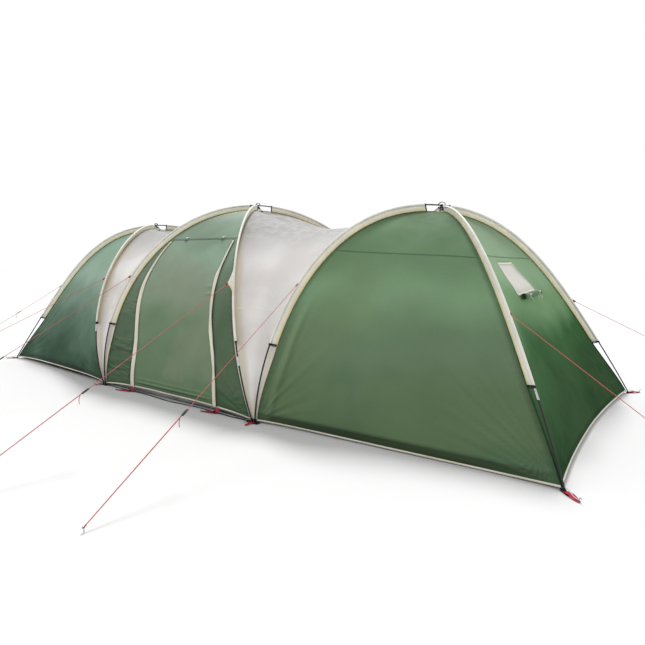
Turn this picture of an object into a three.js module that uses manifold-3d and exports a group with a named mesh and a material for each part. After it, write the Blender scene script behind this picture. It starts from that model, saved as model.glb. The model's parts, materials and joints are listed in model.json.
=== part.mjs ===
// A three-dome family tent on crossed poles, pitched, with its guy lines and pegs.
// Millimetres, +Z up. The origin is on the ground at the centre of the footprint,
// +X runs along the tent towards the vented right end and -Y is the door side.

import * as THREE from 'three';
import { mergeVertices } from 'three/addons/utils/BufferGeometryUtils.js';
import Module from 'manifold-3d';

const wasm = await Module();
wasm.setup();

// ---------------------------------------------------------------- driving dimensions

const HALF_LENGTH = 3300;        // centre to the pole feet at each end
const END_HALF_WIDTH = 1360;     // centre line to the end feet
const MID_HALF_WIDTH = 1489;     // centre line to the feet that two domes share
const SHARED_LEFT = -1018;       // where the left and middle domes meet
const SHARED_RIGHT = 1081;       // where the middle and right domes meet
const FOOT_SPACING = 16;         // half the distance between the two poles of a shared foot

const POLE_RADIUS = 5.5;
const POLE_FOOT = 12;            // height of a pole's lower end above the ground
const POLE_STEPS = 26;
const CROSSING_DROP = 12.5;      // how much lower the second pole of a dome runs at the crown
const ARCH_SIDE = 2;             // exponents of the arch |s|^a + z^b = 1
const ARCH_TOP = 1.74;

const FABRIC = 2;                // thickness of the canopy solids
const SEAM_GAP = 3;              // canopy edge to the line of the seam
const SADDLE_GAP = 6;
const FIN = 58;                  // pole centre to the canopy seam along a sleeve
const FIN_FOOT = 16;             // the same at the foot
const FIN_CLEAR = 2.6;           // sleeve root above the seam
const SLEEVE_WALL = 2.4;
const BORE_RADIUS = 7.2;
const TUNNEL_RADIUS = 9;
const SLEEVE_END = 0.9;          // sleeves stop short of the crown, as a share of the leg
const HEM_FOOT = 22;             // height of the hem at a pole foot

const ROPE_RADIUS = 2;
const TAB_REACH = 62;            // pole centre to the tip of a guy tab
const LOOP_HEIGHT = 22;          // where a guy line meets its peg, above the ground
const PEG_RADIUS = 2.5;

// A pair of pole feet of a dome: where they stand, how far their legs bow along X and towards
// the centre line, and the height at which their sleeves end.
const foot = (x, width, bowX, bowY, sleeveFoot) => ({ x, width, bowX, bowY, sleeveFoot });

// Each dome: its left and right feet, its crown height and how far the crown leans along X.
const DOMES = [
  {
    name: 'left',
    left: foot(-HALF_LENGTH, END_HALF_WIDTH, 73, 209, 525),
    right: foot(SHARED_LEFT - FOOT_SPACING, MID_HALF_WIDTH, -80, -96, 630),
    height: 1737,
    lean: 74,
  },
  {
    name: 'middle',
    left: foot(SHARED_LEFT + FOOT_SPACING, MID_HALF_WIDTH, -10, -14, 623),
    right: foot(SHARED_RIGHT - FOOT_SPACING, MID_HALF_WIDTH, -65, -56, 612),
    height: 1876,
    lean: -297,
  },
  {
    name: 'right',
    left: foot(SHARED_RIGHT + FOOT_SPACING, MID_HALF_WIDTH, 53, 35, 606),
    right: foot(HALF_LENGTH, END_HALF_WIDTH, -111, 193, 510),
    height: 1742,
    lean: -312,
  },
];
const [LEFT_DOME, MIDDLE_DOME, RIGHT_DOME] = DOMES;

// Guy lines: the leg they pull on, the height of their tab, their peg on the ground
// and how far down the line the slider sits.
const guy = (name, dome, side, far, height, peg, slider) => (
  { name, dome, side, far, height, peg, slider });
const GUYS = [
  guy('left_end_front', LEFT_DOME, 'left', false, 940, [-3950, -1930], 0.38),
  guy('left_inner_front', LEFT_DOME, 'right', false, 1083, [-2235, -3050], 0.62),
  guy('middle_left_front', MIDDLE_DOME, 'left', false, 1105, [-1095, -3100], 0.646),
  guy('middle_right_front', MIDDLE_DOME, 'right', false, 1108, [770, -3450], 0.63),
  guy('right_inner_front', RIGHT_DOME, 'left', false, 1075, [1615, -3150], 0.66),
  guy('right_end_front', RIGHT_DOME, 'right', false, 924, [4360, -1521], 0.7),
  guy('right_end_rear', RIGHT_DOME, 'right', true, 905, [4450, 1607], 0.6),
];
// The other rear legs carry the same tabs, for guy lines that aren't fitted.
const SPARE_TABS = GUYS.slice(0, 5).map((line) => (
  { ...line, far: true, peg: [line.peg[0], -line.peg[1]] }));

// The door's two zips, as [height, share of the wall's width], and its top seam.
const DOOR_TOP = 1465;
const DOOR_LEFT = [[0, 0.212], [500, 0.215], [1000, 0.122], [1250, 0.092], [DOOR_TOP, 0.05]];
const DOOR_RIGHT = [
  [0, 0.8], [400, 0.846], [800, 0.84], [1100, 0.855], [1300, 0.898], [DOOR_TOP, 0.945],
];
const WALL_LAG = 34;
const DOOR_WIDTH = 1150;
const DOOR_GAP = 3;
const TOP_GAP = 0.0022;          // gap over the door and the vent mesh, as a share of the climb
const ZIP_TRAVEL = 420;
const ZIP_FOOT = 150;            // height of a zip slider when the door is closed

const VENT_BOTTOM = 1045;
const VENT_TOP = 1310;
const VENT_SHARE_BOTTOM = 0.345; // side of the vent as a share of the end's width
const VENT_SHARE_TOP = 0.368;
const VENT_ROLL_RADIUS = 26;

// ---------------------------------------------------------------- materials

const cloth = (color) => new THREE.MeshStandardMaterial({ color, roughness: 0.75, metalness: 0 });
const GREEN = 0x55755a;
const DEEP_GREEN = 0x47634a;
const CREAM = 0xe3dccb;
const PALE = 0xd9d5cf;
const GREY = 0x8f9190;
const BLACK = 0x1c1d1f;
const RED = 0xc23b4e;

const tent = new THREE.Group();

function add(name, geometry, material) {
  const mesh = new THREE.Mesh(geometry, material);
  mesh.name = name;
  tent.add(mesh);
  return mesh;
}

// ---------------------------------------------------------------- poles, legs and seams

const clamp = (x, low, high) => Math.min(high, Math.max(low, x));
const smooth = (x) => {
  const k = clamp(x, 0, 1);
  return k * k * (3 - 2 * k);
};

// A point of the arch that starts at one foot of a dome and ends at the foot diagonally
// opposite. share runs from 0 to 1 along the straight line between the two feet.
function archPoint(dome, side, far, share) {
  const own = dome[side];
  const other = dome[side === 'left' ? 'right' : 'left'];
  const leg = share <= 0.5 ? own : other;
  const drop = (side === 'right') !== far ? CROSSING_DROP : 0;
  const rise = (1 - Math.abs(2 * share - 1) ** ARCH_SIDE) ** (1 / ARCH_TOP);
  const bow = 4 * rise * (1 - rise);
  const x = own.x + (other.x - own.x) * share + dome.lean * rise + leg.bowX * bow;
  const inwards = share <= 0.5 ? leg.bowY : -leg.bowY;
  const y = -own.width + (own.width + other.width) * share + inwards * bow;
  const z = POLE_FOOT + (dome.height - drop - POLE_FOOT) * rise;
  return new THREE.Vector3(x, far ? -y : y, z);
}

// The share of the arch at which the two poles of a dome cross, seen from one side.
function crossing(dome, side) {
  const other = dome[side === 'left' ? 'right' : 'left'];
  return dome[side].width / (dome[side].width + other.width);
}

// A leg runs from its foot, at 0, to the crown, at 1.
const legPoint = (dome, side, far, along) => archPoint(dome, side, far, along * crossing(dome, side));

// Where along a leg its pole is at a height.
function alongAt(dome, side, height) {
  const rise = clamp((height - POLE_FOOT) / (dome.height - POLE_FOOT), 0, 1);
  const s = (1 - rise ** ARCH_TOP) ** (1 / ARCH_SIDE);
  return (1 - s) / 2 / crossing(dome, side);
}

// The direction into the dome, which is where the canopy hangs from its poles.
function inward(dome, point) {
  const centre = (dome.left.x + dome.right.x) / 2 + 0.6 * dome.lean;
  const half = (dome.right.x - dome.left.x) / 2;
  return new THREE.Vector3(
    (centre - point.x) / half ** 2,
    -point.y / 1450 ** 2,
    -point.z / dome.height ** 2,
  ).normalize();
}

function finHeight(dome, side, far, along, height) {
  const drop = (side === 'right') !== far ? CROSSING_DROP * clamp(along, 0, 1) : 0;
  return FIN_FOOT + (FIN - FIN_FOOT) * smooth(height / 560) - drop;
}

// The seam where the canopy panels meet under a leg.
function seamPoint(dome, side, far, along) {
  const point = legPoint(dome, side, far, along);
  const height = finHeight(dome, side, far, along, point.z);
  return point.addScaledVector(inward(dome, point), height);
}

// ---------------------------------------------------------------- solids

// A solid of a closed section carried along rings of points. The section's own outline
// says how its end caps are filled.
function sweepSolid(rings, outline) {
  const positions = rings.flat().flatMap((p) => [p.x, p.y, p.z]);
  const n = outline.length;
  const indices = [];
  for (let k = 0; k + 1 < rings.length; k += 1) {
    for (let i = 0; i < n; i += 1) {
      const a = k * n + i;
      const b = k * n + ((i + 1) % n);
      indices.push(a, b, b + n, a, b + n, a + n);
    }
  }
  const last = (rings.length - 1) * n;
  for (const [a, b, c] of THREE.ShapeUtils.triangulateShape(outline, [])) {
    indices.push(a, c, b, last + a, last + b, last + c);
  }
  return facingOut(positions, indices);
}

// Turns a closed mesh's faces outwards.
function facingOut(positions, indices) {
  const at = (i) => new THREE.Vector3().fromArray(positions, 3 * i);
  let volume = 0;
  for (let i = 0; i < indices.length; i += 3) {
    volume += at(indices[i]).dot(at(indices[i + 1]).cross(at(indices[i + 2])));
  }
  const turned = volume < 0 ? indices.slice().reverse() : indices;
  const geometry = new THREE.BufferGeometry();
  geometry.setAttribute('position', new THREE.Float32BufferAttribute(positions, 3));
  geometry.setIndex(turned);
  geometry.computeVertexNormals();
  return geometry;
}

// A sheet of fabric over a grid of points, thickened towards the inside of the tent.
// Cells for which open(column, row) is true are left out.
function sheetSolid(grid, thickness, inside, open = () => false) {
  const columns = grid.length;
  const rows = grid[0].length;
  const positions = [];
  for (let layer = 0; layer < 2; layer += 1) {
    for (let i = 0; i < columns; i += 1) {
      for (let j = 0; j < rows; j += 1) {
        const across = grid[Math.min(i + 1, columns - 1)][j].clone().sub(grid[Math.max(i - 1, 0)][j]);
        const along = grid[i][Math.min(j + 1, rows - 1)].clone().sub(grid[i][Math.max(j - 1, 0)]);
        const normal = across.cross(along).normalize();
        if (normal.dot(inside.clone().sub(grid[i][j])) < 0) normal.negate();
        const point = grid[i][j].clone().addScaledVector(normal, layer * thickness);
        positions.push(point.x, point.y, point.z);
      }
    }
  }
  const solid = (i, j) => i >= 0 && j >= 0 && i < columns - 1 && j < rows - 1 && !open(i, j);
  const vertex = (layer, i, j) => (layer * columns + i) * rows + j;
  const indices = [];
  const quad = (a, b, c, d) => indices.push(a, b, c, a, c, d);
  for (let i = 0; i < columns - 1; i += 1) {
    for (let j = 0; j < rows - 1; j += 1) {
      if (!solid(i, j)) continue;
      quad(vertex(0, i, j), vertex(0, i + 1, j), vertex(0, i + 1, j + 1), vertex(0, i, j + 1));
      quad(vertex(1, i, j), vertex(1, i, j + 1), vertex(1, i + 1, j + 1), vertex(1, i + 1, j));
      const sides = [
        [solid(i, j - 1), i, j, i + 1, j],
        [solid(i + 1, j), i + 1, j, i + 1, j + 1],
        [solid(i, j + 1), i + 1, j + 1, i, j + 1],
        [solid(i - 1, j), i, j + 1, i, j],
      ];
      for (const [neighbour, i0, j0, i1, j1] of sides) {
        if (!neighbour) quad(vertex(0, i1, j1), vertex(0, i0, j0), vertex(1, i0, j0), vertex(1, i1, j1));
      }
    }
  }
  return mergeVertices(usedOnly(positions, indices));
}

// Leaves out the points that no face uses.
function usedOnly(positions, indices) {
  const used = [...new Set(indices)].sort((a, b) => a - b);
  const place = new Map(used.map((index, i) => [index, i]));
  const kept = used.flatMap((index) => positions.slice(3 * index, 3 * index + 3));
  const geometry = facingOut(kept, indices.map((index) => place.get(index)));
  geometry.deleteAttribute('normal');
  return geometry;
}

function toManifold(geometry) {
  const bare = new THREE.BufferGeometry();
  bare.setAttribute('position', geometry.getAttribute('position'));
  if (geometry.index) bare.setIndex(geometry.index);
  const merged = mergeVertices(bare, 1e-3);
  return new wasm.Manifold(new wasm.Mesh({
    numProp: 3,
    vertProperties: new Float32Array(merged.getAttribute('position').array),
    triVerts: new Uint32Array(merged.index.array),
  }));
}

function fromManifold(manifold) {
  const { vertProperties, triVerts } = manifold.getMesh();
  const geometry = new THREE.BufferGeometry();
  geometry.setAttribute('position', new THREE.BufferAttribute(new Float32Array(vertProperties), 3));
  geometry.setIndex(new THREE.BufferAttribute(new Uint32Array(triVerts), 1));
  return geometry;
}

const join = (geometries) => geometries.map(toManifold).reduce((whole, part) => whole.add(part));

function boxAt(width, depth, height, x, y, turn = 0) {
  return new THREE.BoxGeometry(width, depth, height).rotateZ(turn).translate(x, y, height / 2);
}

// ---------------------------------------------------------------- poles

const SECTION_CORNERS = 6;

// The axes of a section across a pole: out of the tent, and sideways along the canopy.
function poleAxes(dome, side, far, share) {
  const step = 1e-3;
  const before = archPoint(dome, side, far, clamp(share - step, 0, 1));
  const after = archPoint(dome, side, far, clamp(share + step, 0, 1));
  const centre = archPoint(dome, side, far, share);
  const out = inward(dome, centre).negate();
  const across = after.sub(before).cross(out).normalize();
  return { centre, out, across };
}

const placed = (axes, [a, b]) => axes.centre.clone()
  .addScaledVector(axes.across, a)
  .addScaledVector(axes.out, b);

function roundSection(radius) {
  const corner = (k) => Math.PI * (2 * k + 1) / SECTION_CORNERS;
  return Array.from({ length: SECTION_CORNERS }, (_, k) => (
    [radius * Math.cos(corner(k)), radius * Math.sin(corner(k))]));
}

const outlineOf = (section) => section.map(([a, b]) => new THREE.Vector2(a, b));

// Stations lie closer together near the feet, where a pole bends most.
const stationShare = (k) => (1 - Math.cos(Math.PI * k / POLE_STEPS)) / 2;

function roundAlongPole(dome, side, radius, first, last) {
  const section = roundSection(radius);
  const rings = [];
  for (let k = first; k <= last; k += 1) {
    const axes = poleAxes(dome, side, false, stationShare(k));
    rings.push(section.map((corner) => placed(axes, corner)));
  }
  return sweepSolid(rings, outlineOf(section));
}

// ---------------------------------------------------------------- sleeves

// The station nearest to a share of the arch.
const stationNear = (share) => Math.round(Math.acos(1 - 2 * share) * POLE_STEPS / Math.PI);

// The section of a sleeve: a round tunnel, open below, with a flat fin down to its root.
function finSection(root) {
  const half = SLEEVE_WALL / 2;
  const neck = -TUNNEL_RADIUS * 0.92;
  const tunnel = roundSection(TUNNEL_RADIUS).filter(([, b]) => b > -TUNNEL_RADIUS * 0.9);
  const lowerLeft = tunnel.findIndex(([a, b]) => a < 0 && b < 0);
  const fin = [[-half, neck], [-half, root], [half, root], [half, neck]];
  return [...tunnel.slice(0, lowerLeft + 1), ...fin, ...tunnel.slice(lowerLeft + 1)];
}

// A sleeve's fin and tunnel, without its bore, between two stations of a pole.
function finSolid(dome, side, first, last) {
  const other = side === 'left' ? 'right' : 'left';
  const sections = [];
  const rings = [];
  for (let k = first; k <= last; k += 1) {
    const share = stationShare(k);
    const axes = poleAxes(dome, side, false, share);
    const far = share > crossing(dome, side);
    const leg = far ? other : side;
    const along = (far ? 1 - share : share) / crossing(dome, leg);
    const section = finSection(FIN_CLEAR - finHeight(dome, leg, far, along, axes.centre.z));
    sections.push(section);
    rings.push(section.map((corner) => placed(axes, corner)));
  }
  return sweepSolid(rings, outlineOf(sections.at(-1)));
}

// The flat tape on the seam that joins a pole's two sleeves under the bare crown.
function crownTape(dome, side, lift) {
  const section = [[-7, 0], [7, 0], [7, 2], [-7, 2]];
  const rings = [];
  const reach = 0.16;
  const steps = 8;
  const middle = crossing(dome, side);
  for (let k = -steps; k <= steps; k += 1) {
    const share = middle + reach / 2 * k / steps;
    const axes = poleAxes(dome, side, false, share);
    const drop = side === 'right' ? CROSSING_DROP : 0;
    const root = lift - (FIN - drop);
    rings.push(section.map(([a, b]) => placed(axes, [a, b + root])));
  }
  return sweepSolid(rings, outlineOf(section));
}

function guyLine({ dome, side, far, height, peg }) {
  const along = alongAt(dome, side, height);
  const start = legPoint(dome, side, far, along);
  const end = new THREE.Vector3(peg[0], peg[1], LOOP_HEIGHT);
  return { along, start, end, direction: end.clone().sub(start).normalize() };
}

// A tapered tab of fabric that the guy line pulls out of the sleeve.
function guyTab(line) {
  const { along, start, direction } = guyLine(line);
  const step = 0.004;
  const up = legPoint(line.dome, line.side, line.far, along + step)
    .sub(legPoint(line.dome, line.side, line.far, along - step)).normalize();
  const flat = up.clone().cross(direction).normalize();
  const across = direction.clone().cross(flat).normalize();
  const section = [[-1, -1], [1, -1], [1, 1], [-1, 1]];
  const ring = (distance, halfHeight, halfThick) => section.map(([a, b]) => start.clone()
    .addScaledVector(direction, distance)
    .addScaledVector(across, a * halfHeight)
    .addScaledVector(flat, b * halfThick));
  const rings = [ring(-4, 46, 2.6), ring(18, 26, 2.4), ring(TAB_REACH, 8, 2.2)];
  return sweepSolid(rings, outlineOf(section));
}

function buildSleeve(dome, side) {
  const other = side === 'left' ? 'right' : 'left';
  const nearFoot = alongAt(dome, side, dome[side].sleeveFoot) * crossing(dome, side);
  const farFoot = 1 - alongAt(dome, other, dome[other].sleeveFoot) * crossing(dome, other);
  const nearEnd = SLEEVE_END * crossing(dome, side);
  const farEnd = 1 - SLEEVE_END * crossing(dome, other);
  const bounds = [nearFoot, nearEnd, farEnd, farFoot].map(stationNear);
  const tabs = [...GUYS, ...SPARE_TABS]
    .filter((line) => line.dome === dome)
    .filter((line) => (line.side === side && !line.far) || (line.side === other && line.far))
    .map(guyTab);
  const body = join([
    finSolid(dome, side, bounds[0], bounds[1]),
    finSolid(dome, side, bounds[2], bounds[3]),
    crownTape(dome, side, side === 'left' ? FIN_CLEAR : FIN_CLEAR + 5),
    ...tabs,
  ]);
  const bore = toManifold(roundAlongPole(dome, side, BORE_RADIUS, bounds[0] - 1, bounds[3] + 1));
  return fromManifold(body.subtract(bore));
}

// A short strap that holds the crossed poles to the top of the canopy.
function crownTie(dome) {
  const low = legPoint(dome, 'right', false, 1);
  const top = low.z - POLE_RADIUS - 5;
  const bottom = dome.height - FIN + 16;
  const strap = new THREE.BoxGeometry(26, 14, top - bottom);
  return strap.translate(low.x, 0, (top + bottom) / 2);
}

for (const dome of DOMES) {
  const names = { left: 'falling', right: 'rising' };
  for (const side of ['left', 'right']) {
    add(`${dome.name}_pole_${names[side]}`, roundAlongPole(dome, side, POLE_RADIUS, 0, POLE_STEPS),
      new THREE.MeshStandardMaterial({ color: 0x2b2e31, roughness: 0.35, metalness: 0.2 }));
    add(`${dome.name}_sleeve_${names[side]}`, buildSleeve(dome, side), cloth(CREAM));
  }
  add(`${dome.name}_crown_tie`, crownTie(dome), cloth(BLACK));
}

// ---------------------------------------------------------------- canopy panels

// Height along a panel goes from 0 at the ground to 1 at the crown, in even steps of arc.
const alongOf = (climb) => 1 - Math.cos(Math.PI / 2 * climb);
const climbAt = (dome, side, height) => Math.acos(1 - alongAt(dome, side, height)) * 2 / Math.PI;

// A wall between two legs of one dome. across runs from the first leg to the second.
function wallPoint(wall, across, climb) {
  const along = alongOf(climb);
  const first = seamPoint(wall.dome, wall.from[0], wall.from[1], along);
  const second = seamPoint(wall.dome, wall.to[0], wall.to[1], along);
  const width = first.distanceTo(second);
  const margin = SEAM_GAP / width;
  const share = margin + (1 - 2 * margin) * across;
  const point = first.lerp(second, share);
  const hollow = wall.sag * 4 * share * (1 - share) * wall.profile(clamp(climb, 0, 1));
  return point.addScaledVector(inward(wall.dome, point), hollow);
}

const TOP_CLIMB = 0.97;
const hemHeight = (wall, across) => HEM_FOOT + wall.hemRise * (1 - (2 * across - 1) ** 4);

function hemClimb(wall, across) {
  return climbAt(wall.dome, wall.from[0], hemHeight(wall, across));
}

// Even steps from a to b, both included.
const steps = (a, b, count) => Array.from({ length: count + 1 }, (_, k) => a + (b - a) * k / count);

// A plain panel, hem to crown.
function panelSolid(wall, columns = 6, rows = 9) {
  const grid = steps(0, 1, columns).map((across) => (
    steps(hemClimb(wall, across), TOP_CLIMB, rows).map((climb) => wallPoint(wall, across, climb))));
  return sheetSolid(grid, FABRIC, middleOf(wall.dome));
}

const middleOf = (dome) => new THREE.Vector3((dome.left.x + dome.right.x) / 2 + dome.lean / 2, 0, 500);

// A long wall hollows most half way up. An end wall does so from its hem, which curves inwards.
const HOLLOW_MIDDLE = (climb) => Math.sin(Math.PI * climb) ** 0.7;
const HOLLOW_HEM = (climb) => 1 - climb ** 4;

const frontWall = (dome, hemRise, sag) => (
  { dome, from: ['left', false], to: ['right', false], hemRise, sag, profile: HOLLOW_MIDDLE });
const rearWall = (dome, hemRise, sag) => (
  { dome, from: ['left', true], to: ['right', true], hemRise, sag, profile: HOLLOW_MIDDLE });
const endWall = (dome, side) => (
  { dome, from: [side, false], to: [side, true], hemRise: 4, sag: 58, profile: HOLLOW_HEM });

add('left_front_panel', panelSolid(frontWall(LEFT_DOME, 28, 20)), cloth(GREEN));
add('left_rear_panel', panelSolid(rearWall(LEFT_DOME, 28, 20)), cloth(GREEN));
add('middle_rear_panel', panelSolid(rearWall(MIDDLE_DOME, 36, 0)), cloth(GREEN));
add('right_front_panel', panelSolid(frontWall(RIGHT_DOME, 4, 20)), cloth(GREEN));
add('right_rear_panel', panelSolid(rearWall(RIGHT_DOME, 4, 20)), cloth(GREEN));

// ---------------------------------------------------------------- front wall and door

const doorWall = frontWall(MIDDLE_DOME, 36, 0);

// A smooth line through a zip's points, as a share of the wall's width.
function zipShare(points, height) {
  const k = clamp(points.findIndex(([h]) => h >= height), 1, points.length - 1);
  const [[h0, s0], [h1, s1]] = [points[k - 1], points[k]];
  const slope = (i) => {
    const a = points[Math.max(i - 1, 0)];
    const b = points[Math.min(i + 1, points.length - 1)];
    return (b[1] - a[1]) / (b[0] - a[0]) * (h1 - h0);
  };
  const t = clamp((height - h0) / (h1 - h0), 0, 1);
  const rise = t * t * (3 - 2 * t);
  const ends = slope(k - 1) * (t ** 3 - 2 * t ** 2 + t) + slope(k) * (t ** 3 - t ** 2);
  return s0 + (s1 - s0) * rise + ends;
}

// The wall lies lower than its poles, so the door's top is found at the poles' height there.
const doorTopClimb = climbAt(MIDDLE_DOME, 'left', DOOR_TOP + WALL_LAG);
const heightOf = (climb) => seamPoint(MIDDLE_DOME, 'left', false, alongOf(climb)).z;

// The wall's columns: a strip left of the door, the door, and a strip right of it.
const STRIP_LEFT = 2;
const DOOR_COLUMNS = 5;
const STRIP_RIGHT = 2;
const DOOR_END = STRIP_LEFT + DOOR_COLUMNS;
const DOOR_ROWS = 7;

function doorColumn(column, climb) {
  const left = zipShare(DOOR_LEFT, Math.min(heightOf(climb), DOOR_TOP));
  const right = zipShare(DOOR_RIGHT, Math.min(heightOf(climb), DOOR_TOP));
  if (column <= STRIP_LEFT) return left * column / STRIP_LEFT;
  if (column <= DOOR_END) return left + (right - left) * (column - STRIP_LEFT) / DOOR_COLUMNS;
  return right + (1 - right) * (column - DOOR_END) / STRIP_RIGHT;
}

// A point of the wall by column number; the hem's height is found at the column's foot.
function doorWallPoint(column, row, topClimb, rows) {
  const foot = hemClimb(doorWall, doorColumn(column, 0.05));
  const climb = foot + (topClimb - foot) * row / rows;
  return wallPoint(doorWall, doorColumn(column, climb), climb);
}

function buildDoorWall() {
  const columns = steps(0, DOOR_END + STRIP_RIGHT, DOOR_END + STRIP_RIGHT);
  const upper = steps(doorTopClimb, TOP_CLIMB, 5).slice(1);
  const grid = columns.map((column) => [
    ...steps(0, DOOR_ROWS, DOOR_ROWS).map((row) => doorWallPoint(column, row, doorTopClimb, DOOR_ROWS)),
    ...upper.map((climb) => wallPoint(doorWall, doorColumn(column, climb), climb)),
  ]);
  const open = (i, j) => i >= STRIP_LEFT && i < DOOR_END && j < DOOR_ROWS;
  return sheetSolid(grid, FABRIC, middleOf(MIDDLE_DOME), open);
}

function buildDoor() {
  const inset = DOOR_GAP / DOOR_WIDTH * DOOR_COLUMNS;
  const top = doorTopClimb - TOP_GAP;
  const grid = steps(STRIP_LEFT + inset, DOOR_END - inset, DOOR_COLUMNS)
    .map((column) => steps(0, DOOR_ROWS, DOOR_ROWS).map((row) => doorWallPoint(column, row, top, DOOR_ROWS)));
  return sheetSolid(grid, FABRIC, middleOf(MIDDLE_DOME));
}

add('middle_front_wall', buildDoorWall(), cloth(GREEN));
add('door_panel', buildDoor(), cloth(GREEN));

// A zip slider with its puller, on the wall beside the door's edge. It runs on a straight
// line that stays just clear of the curved wall.
function zipTrack(sign) {
  const points = sign < 0 ? DOOR_LEFT : DOOR_RIGHT;
  const at = (height) => {
    const climb = climbAt(MIDDLE_DOME, 'left', height);
    const share = zipShare(points, heightOf(climb));
    return wallPoint(doorWall, share, climb);
  };
  const samples = steps(ZIP_FOOT - 30, ZIP_FOOT + ZIP_TRAVEL + 30, 12).map(at);
  const direction = samples.at(-2).clone().sub(samples[1]).normalize();
  const side = new THREE.Vector3(sign, 0, 0);
  side.addScaledVector(direction, -side.dot(direction)).normalize();
  const out = side.clone().cross(direction).normalize();
  if (out.y > 0) out.negate();
  const far = (axis) => Math.max(...samples.map((p) => p.clone().sub(samples[1]).dot(axis)));
  const start = samples[1].clone()
    .addScaledVector(side, far(side) + 11)
    .addScaledVector(out, far(out) + 4.5);
  return { start, direction, side, out };
}

function zipSlider(sign) {
  const { start, direction, side, out } = zipTrack(sign);
  const turn = new THREE.Matrix4().makeBasis(side, out, direction);
  if (turn.determinant() < 0) turn.makeBasis(side.clone().negate(), out, direction);
  const bodyBox = new THREE.BoxGeometry(11, 6, 16);
  const puller = new THREE.BoxGeometry(7, 2, 42).translate(0, 3, -24);
  const geometry = fromManifold(join([bodyBox, puller]));
  geometry.applyMatrix4(turn.setPosition(start));
  return geometry;
}

add('door_zip_slider_left', zipSlider(-1), cloth(BLACK));
add('door_zip_slider_right', zipSlider(1), cloth(BLACK));

// ---------------------------------------------------------------- end walls with a vent

const VENT_COLUMNS = [3, 2, 3];

function endColumn(column, climb, low, high) {
  const rise = clamp((climb - low) / (high - low), 0, 1);
  const edge = VENT_SHARE_BOTTOM + (VENT_SHARE_TOP - VENT_SHARE_BOTTOM) * rise;
  const [a, b, c] = VENT_COLUMNS;
  if (column <= a) return edge * column / a;
  if (column <= a + b) return edge + (1 - 2 * edge) * (column - a) / b;
  return 1 - edge + edge * (column - a - b) / c;
}

function endParts(dome, side) {
  const wall = endWall(dome, side);
  const low = climbAt(dome, side, VENT_BOTTOM);
  const high = climbAt(dome, side, VENT_TOP);
  const [a, b, c] = VENT_COLUMNS;
  const point = (column, climb) => wallPoint(wall, endColumn(column, climb, low, high), climb);
  const grid = steps(0, a + b + c, a + b + c).map((column) => {
    const foot = hemClimb(wall, endColumn(column, 0, low, high));
    const climbs = [
      ...steps(foot, low, 5),
      ...steps(low, high, 2).slice(1),
      ...steps(high, TOP_CLIMB, 4).slice(1),
    ];
    return climbs.map((climb) => point(column, climb));
  });
  const open = (i, j) => i >= a && i < a + b && (j === 5 || j === 6);
  const wallSolid = sheetSolid(grid, FABRIC, middleOf(dome), open);

  const inset = 0.012;
  const meshGrid = steps(a + inset, a + b - inset, 2)
    .map((column) => steps(low + TOP_GAP, high - TOP_GAP, 2).map((climb) => point(column, climb)));
  const mesh = sheetSolid(meshGrid, FABRIC * 0.6, middleOf(dome));

  const sign = side === 'left' ? -1 : 1;
  const sill = steps(a - 0.15, a + b + 0.15, 6).flatMap((column) => (
    [low - 0.03, low - 0.018, low - 0.006].map((climb) => point(column, climb))));
  const outermost = Math.max(...sill.map((p) => sign * p.x));
  const height = (sill[1].z + sill[0].z) / 2;
  const length = sill.at(-1).y - sill[0].y;
  const roll = new THREE.CylinderGeometry(VENT_ROLL_RADIUS, VENT_ROLL_RADIUS, Math.abs(length), 12, 1)
    .translate(sign * (outermost + VENT_ROLL_RADIUS + 0.5), 0, height);
  return { wallSolid, mesh, roll };
}

for (const [dome, side] of [[LEFT_DOME, 'left'], [RIGHT_DOME, 'right']]) {
  const { wallSolid, mesh, roll } = endParts(dome, side);
  add(`${side}_end_panel`, wallSolid, cloth(DEEP_GREEN));
  add(`${side}_vent_mesh`, mesh, cloth(CREAM));
  add(`${side}_vent_flap_roll`, roll, cloth(GREEN));
}

// ---------------------------------------------------------------- saddles between the domes

// A saddle hangs between the facing legs of two domes, from the near feet over the top to
// the far feet. along goes from -1 to 1.
function saddlePoint(first, second, across, along) {
  const far = along > 0;
  const climb = 1 - Math.abs(along);
  const share = alongOf(Math.max(climb, 0));
  const a = seamPoint(first, 'right', far, share);
  const b = seamPoint(second, 'left', far, share);
  const width = a.distanceTo(b);
  const margin = SADDLE_GAP / width;
  const u = margin + (1 - 2 * margin) * across;
  const hang = 0.09 * width * 4 * u * (1 - u) * (0.45 + 0.55 * smooth(climb));
  const inFirst = inward(first, a);
  const inSecond = inward(second, b);
  const point = a.lerp(b, u);
  const direction = inFirst.lerp(inSecond, u).setX(0).normalize();
  return point.addScaledVector(direction, hang);
}

function saddleSolid(first, second) {
  const foot = climbAt(first, 'right', HEM_FOOT + 12);
  const reach = 1 - foot;
  const grid = steps(0, 1, 6).map((across) => (
    steps(-reach, reach, 22).map((along) => saddlePoint(first, second, across, along))));
  const middle = new THREE.Vector3((first.right.x + second.left.x) / 2, 0, 300);
  return sheetSolid(grid, FABRIC, middle);
}

add('left_saddle', saddleSolid(LEFT_DOME, MIDDLE_DOME), cloth(PALE));
add('right_saddle', saddleSolid(MIDDLE_DOME, RIGHT_DOME), cloth(PALE));

// ---------------------------------------------------------------- ground sheet and anchors

const ANCHOR_PLATE = 3.6;
const BOSS_RADIUS = 8;
const BOSS_TOP = POLE_FOOT - 2;     // clears the slanting end of the pole

function boss(x, y) {
  const height = BOSS_TOP - 1;
  return new THREE.CylinderGeometry(BOSS_RADIUS, BOSS_RADIUS, height, 12).rotateX(Math.PI / 2)
    .translate(x, y, 1 + height / 2);
}

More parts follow.
